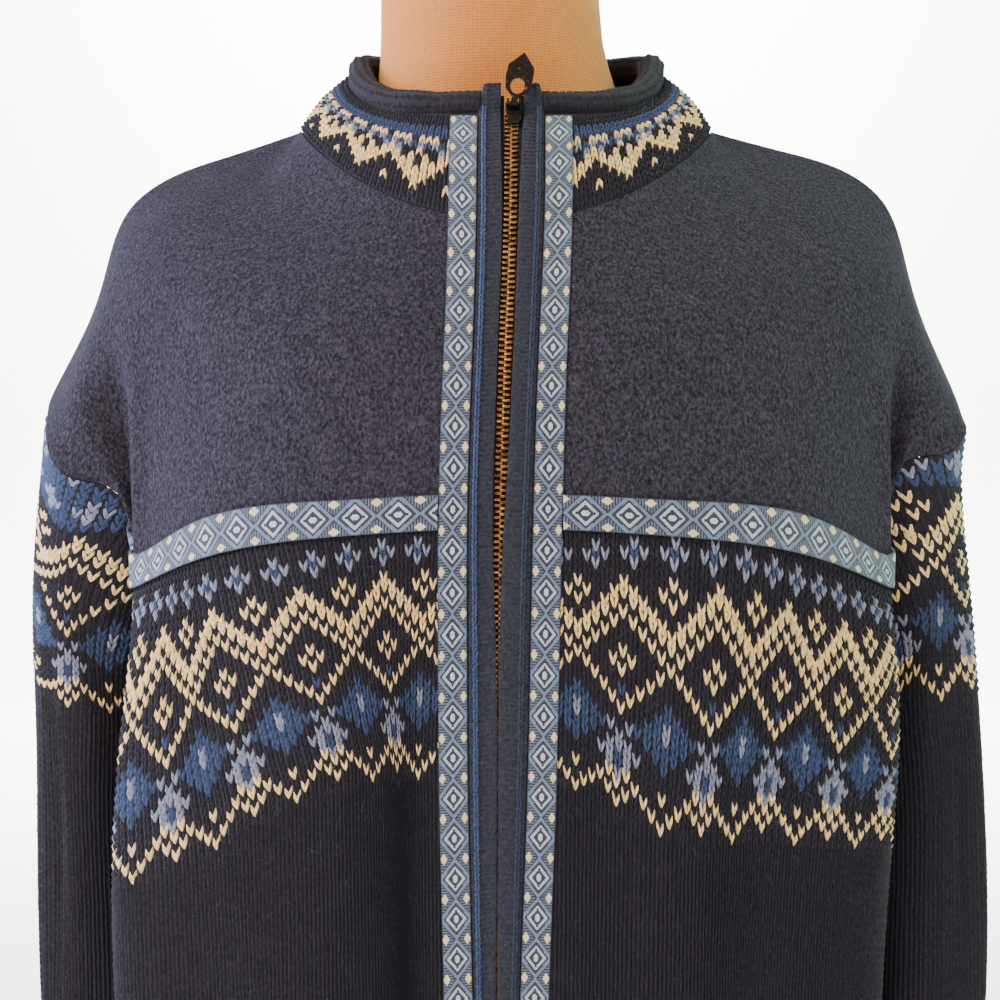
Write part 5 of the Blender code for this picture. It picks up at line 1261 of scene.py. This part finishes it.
tooth = bmesh.new()
bmesh.ops.create_cube(tooth, size=1.0)
bmesh.ops.scale(tooth, vec=Vector(TOOTH), verts=tooth.verts)
bmesh.ops.bevel(tooth, geom=tooth.edges[:], offset=TOOTH_EASED, segments=2, affect="EDGES",
                profile=0.6)
tooth_points = np.array([v.co[:] for v in tooth.verts])
tooth_faces = [[v.index for v in face.verts] for face in tooth.faces]
tooth.free()
top = closure_top + TEETH_START
places = np.arange(int((HEM - TEETH_END - top) / TOOTH_PITCH)) * TOOTH_PITCH + top
points, faces = [], []
wobble = np.random.default_rng(5)
for side, shift in ((-1, 0.0), (1, 0.5)):
    for down in places + shift * TOOTH_PITCH:
        sink = np.clip((down - SINK_START) / SINK_LENGTH, 0, 1)
        depth = CHAIN_TOP + CHAIN_SUNK * sink**2 * (3 - 2 * sink)
        local = tooth_points.copy()
        local[:, 1] += local[:, 0] * wobble.normal(0, TOOTH_TURN)
        # The nose that locks into the other side is narrower and a little thinner.
        nose = np.clip(-side * local[:, 0] / NOSE, 0, 1)
        local[:, 2] *= 1 - NOSE_THINNED * nose
        x = table_at(CLOSURE, "middle", down) + side * TOOTH_FROM_MIDDLE + local[:, 0]
        made = closure_cloth.at(x, down + local[:, 1], -depth - TOOTH[2] / 2 + local[:, 2])
        faces += [[v + len(points) * len(made) for v in corners] for corners in tooth_faces]
        points.append(made)
teeth = new_piece("zip_teeth", np.concatenate(points), faces, [brass], sharp=None, straighten=True)
worn([teeth], "zip_chain")
for name in ("zip_slider", "zip_pull", "zip_box"):
    node = refinished(name, bronze)
    node.modifiers.new("joined", "WELD").merge_threshold = 0.00001
    edge = node.modifiers.new("eased", "BEVEL")
    edge.width, edge.segments = EASED, 2
    edge.limit_method, edge.angle_limit = "ANGLE", math.radians(40)

# ------------------------------
# Loose fibres. Milled wool sheds a haze of short hairs, and knitted wool longer ones, which curl
# away from the band, the plain body and the collar.
hair_finish = Finish("loose_wool_hair", 0.8, Specular_IOR_Level=0.3)
hair_finish.colour(hair_finish.blend(shade(38, 38, 54), shade(120, 118, 140),
                                     hair_finish.noise(70, 2).rise(0.4, 0.65)))
# Where each lot grows, and how long its hairs are, how far they stand up and how wide they are
Hairs = namedtuple("Hairs", "name cloth count across down length stand width")
THIN, THICKER = 0.00007, 0.00008
HAZE = ((-.99, .99), (0.002, YOKE_FOOT - 0.010), (.0010, .0028), (0.2, 0.8), THIN)
LOTS = (
    Hairs("felt_haze_front", front_cloth, 4500, *HAZE),
    Hairs("felt_haze_back", back_cloth, 2500, *HAZE),
    Hairs("band_hairs_front", front_cloth, 2600, (-.98, .98), (.16, .30), (.002, .009), (0.1, 0.6), THIN),
    Hairs("body_hairs_front", front_cloth, 1200, (-.98, .98), (.30, .58), (.002, .007), (0.1, 0.6), THIN),
    Hairs("body_hairs_back", back_cloth, 2000, (-.98, .98), (.16, .58), (.002, .008), (0.1, 0.6), THIN),
    Hairs("collar_hairs", band_cloth, 2500, (.01, .99), (.02, .98), (.0025, .0085), (0.1, 0.6), THICKER),
)
STRIP = np.array([[0, 1, 3, 2], [2, 3, 5, 4], [4, 5, 7, 6]])
for seed, lot in enumerate(LOTS, 1):
    random, count, cloth = np.random.default_rng(seed), lot.count, lot.cloth
    u, v = random.uniform(*lot.across, count), random.uniform(*lot.down, count)
    root = cloth.at(u, v, -0.0002)
    out = unit(cloth.out(u, v))
    lean = unit(np.cross(out, random.normal(0, 1, (count, 3))))
    curl = unit(np.cross(out, lean) + random.normal(0, 0.5, (count, 3)))
    reach = random.uniform(*lot.length, count)[:, None]
    rise = random.uniform(*lot.stand, count)[:, None]
    bend = random.normal(0, 0.45, count)[:, None]
    points = np.empty((count, 8, 3))
    for i, t in enumerate(np.linspace(0, 1, 4)):
        grown = lean * t * (1 - rise) + out * rise * math.sin(t * 2.2) + curl * bend * t * t
        place = root + reach * grown
        half = np.cross(lean, out) * lot.width * (1 - 0.8 * t) / 2
        points[:, 2 * i], points[:, 2 * i + 1] = place - half, place + half
    faces = (STRIP[None] + 8 * np.arange(count)[:, None, None]).reshape(-1, 4)
    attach(new_piece(lot.name, points, faces.tolist(), [hair_finish], sharp=None), "cardigan")
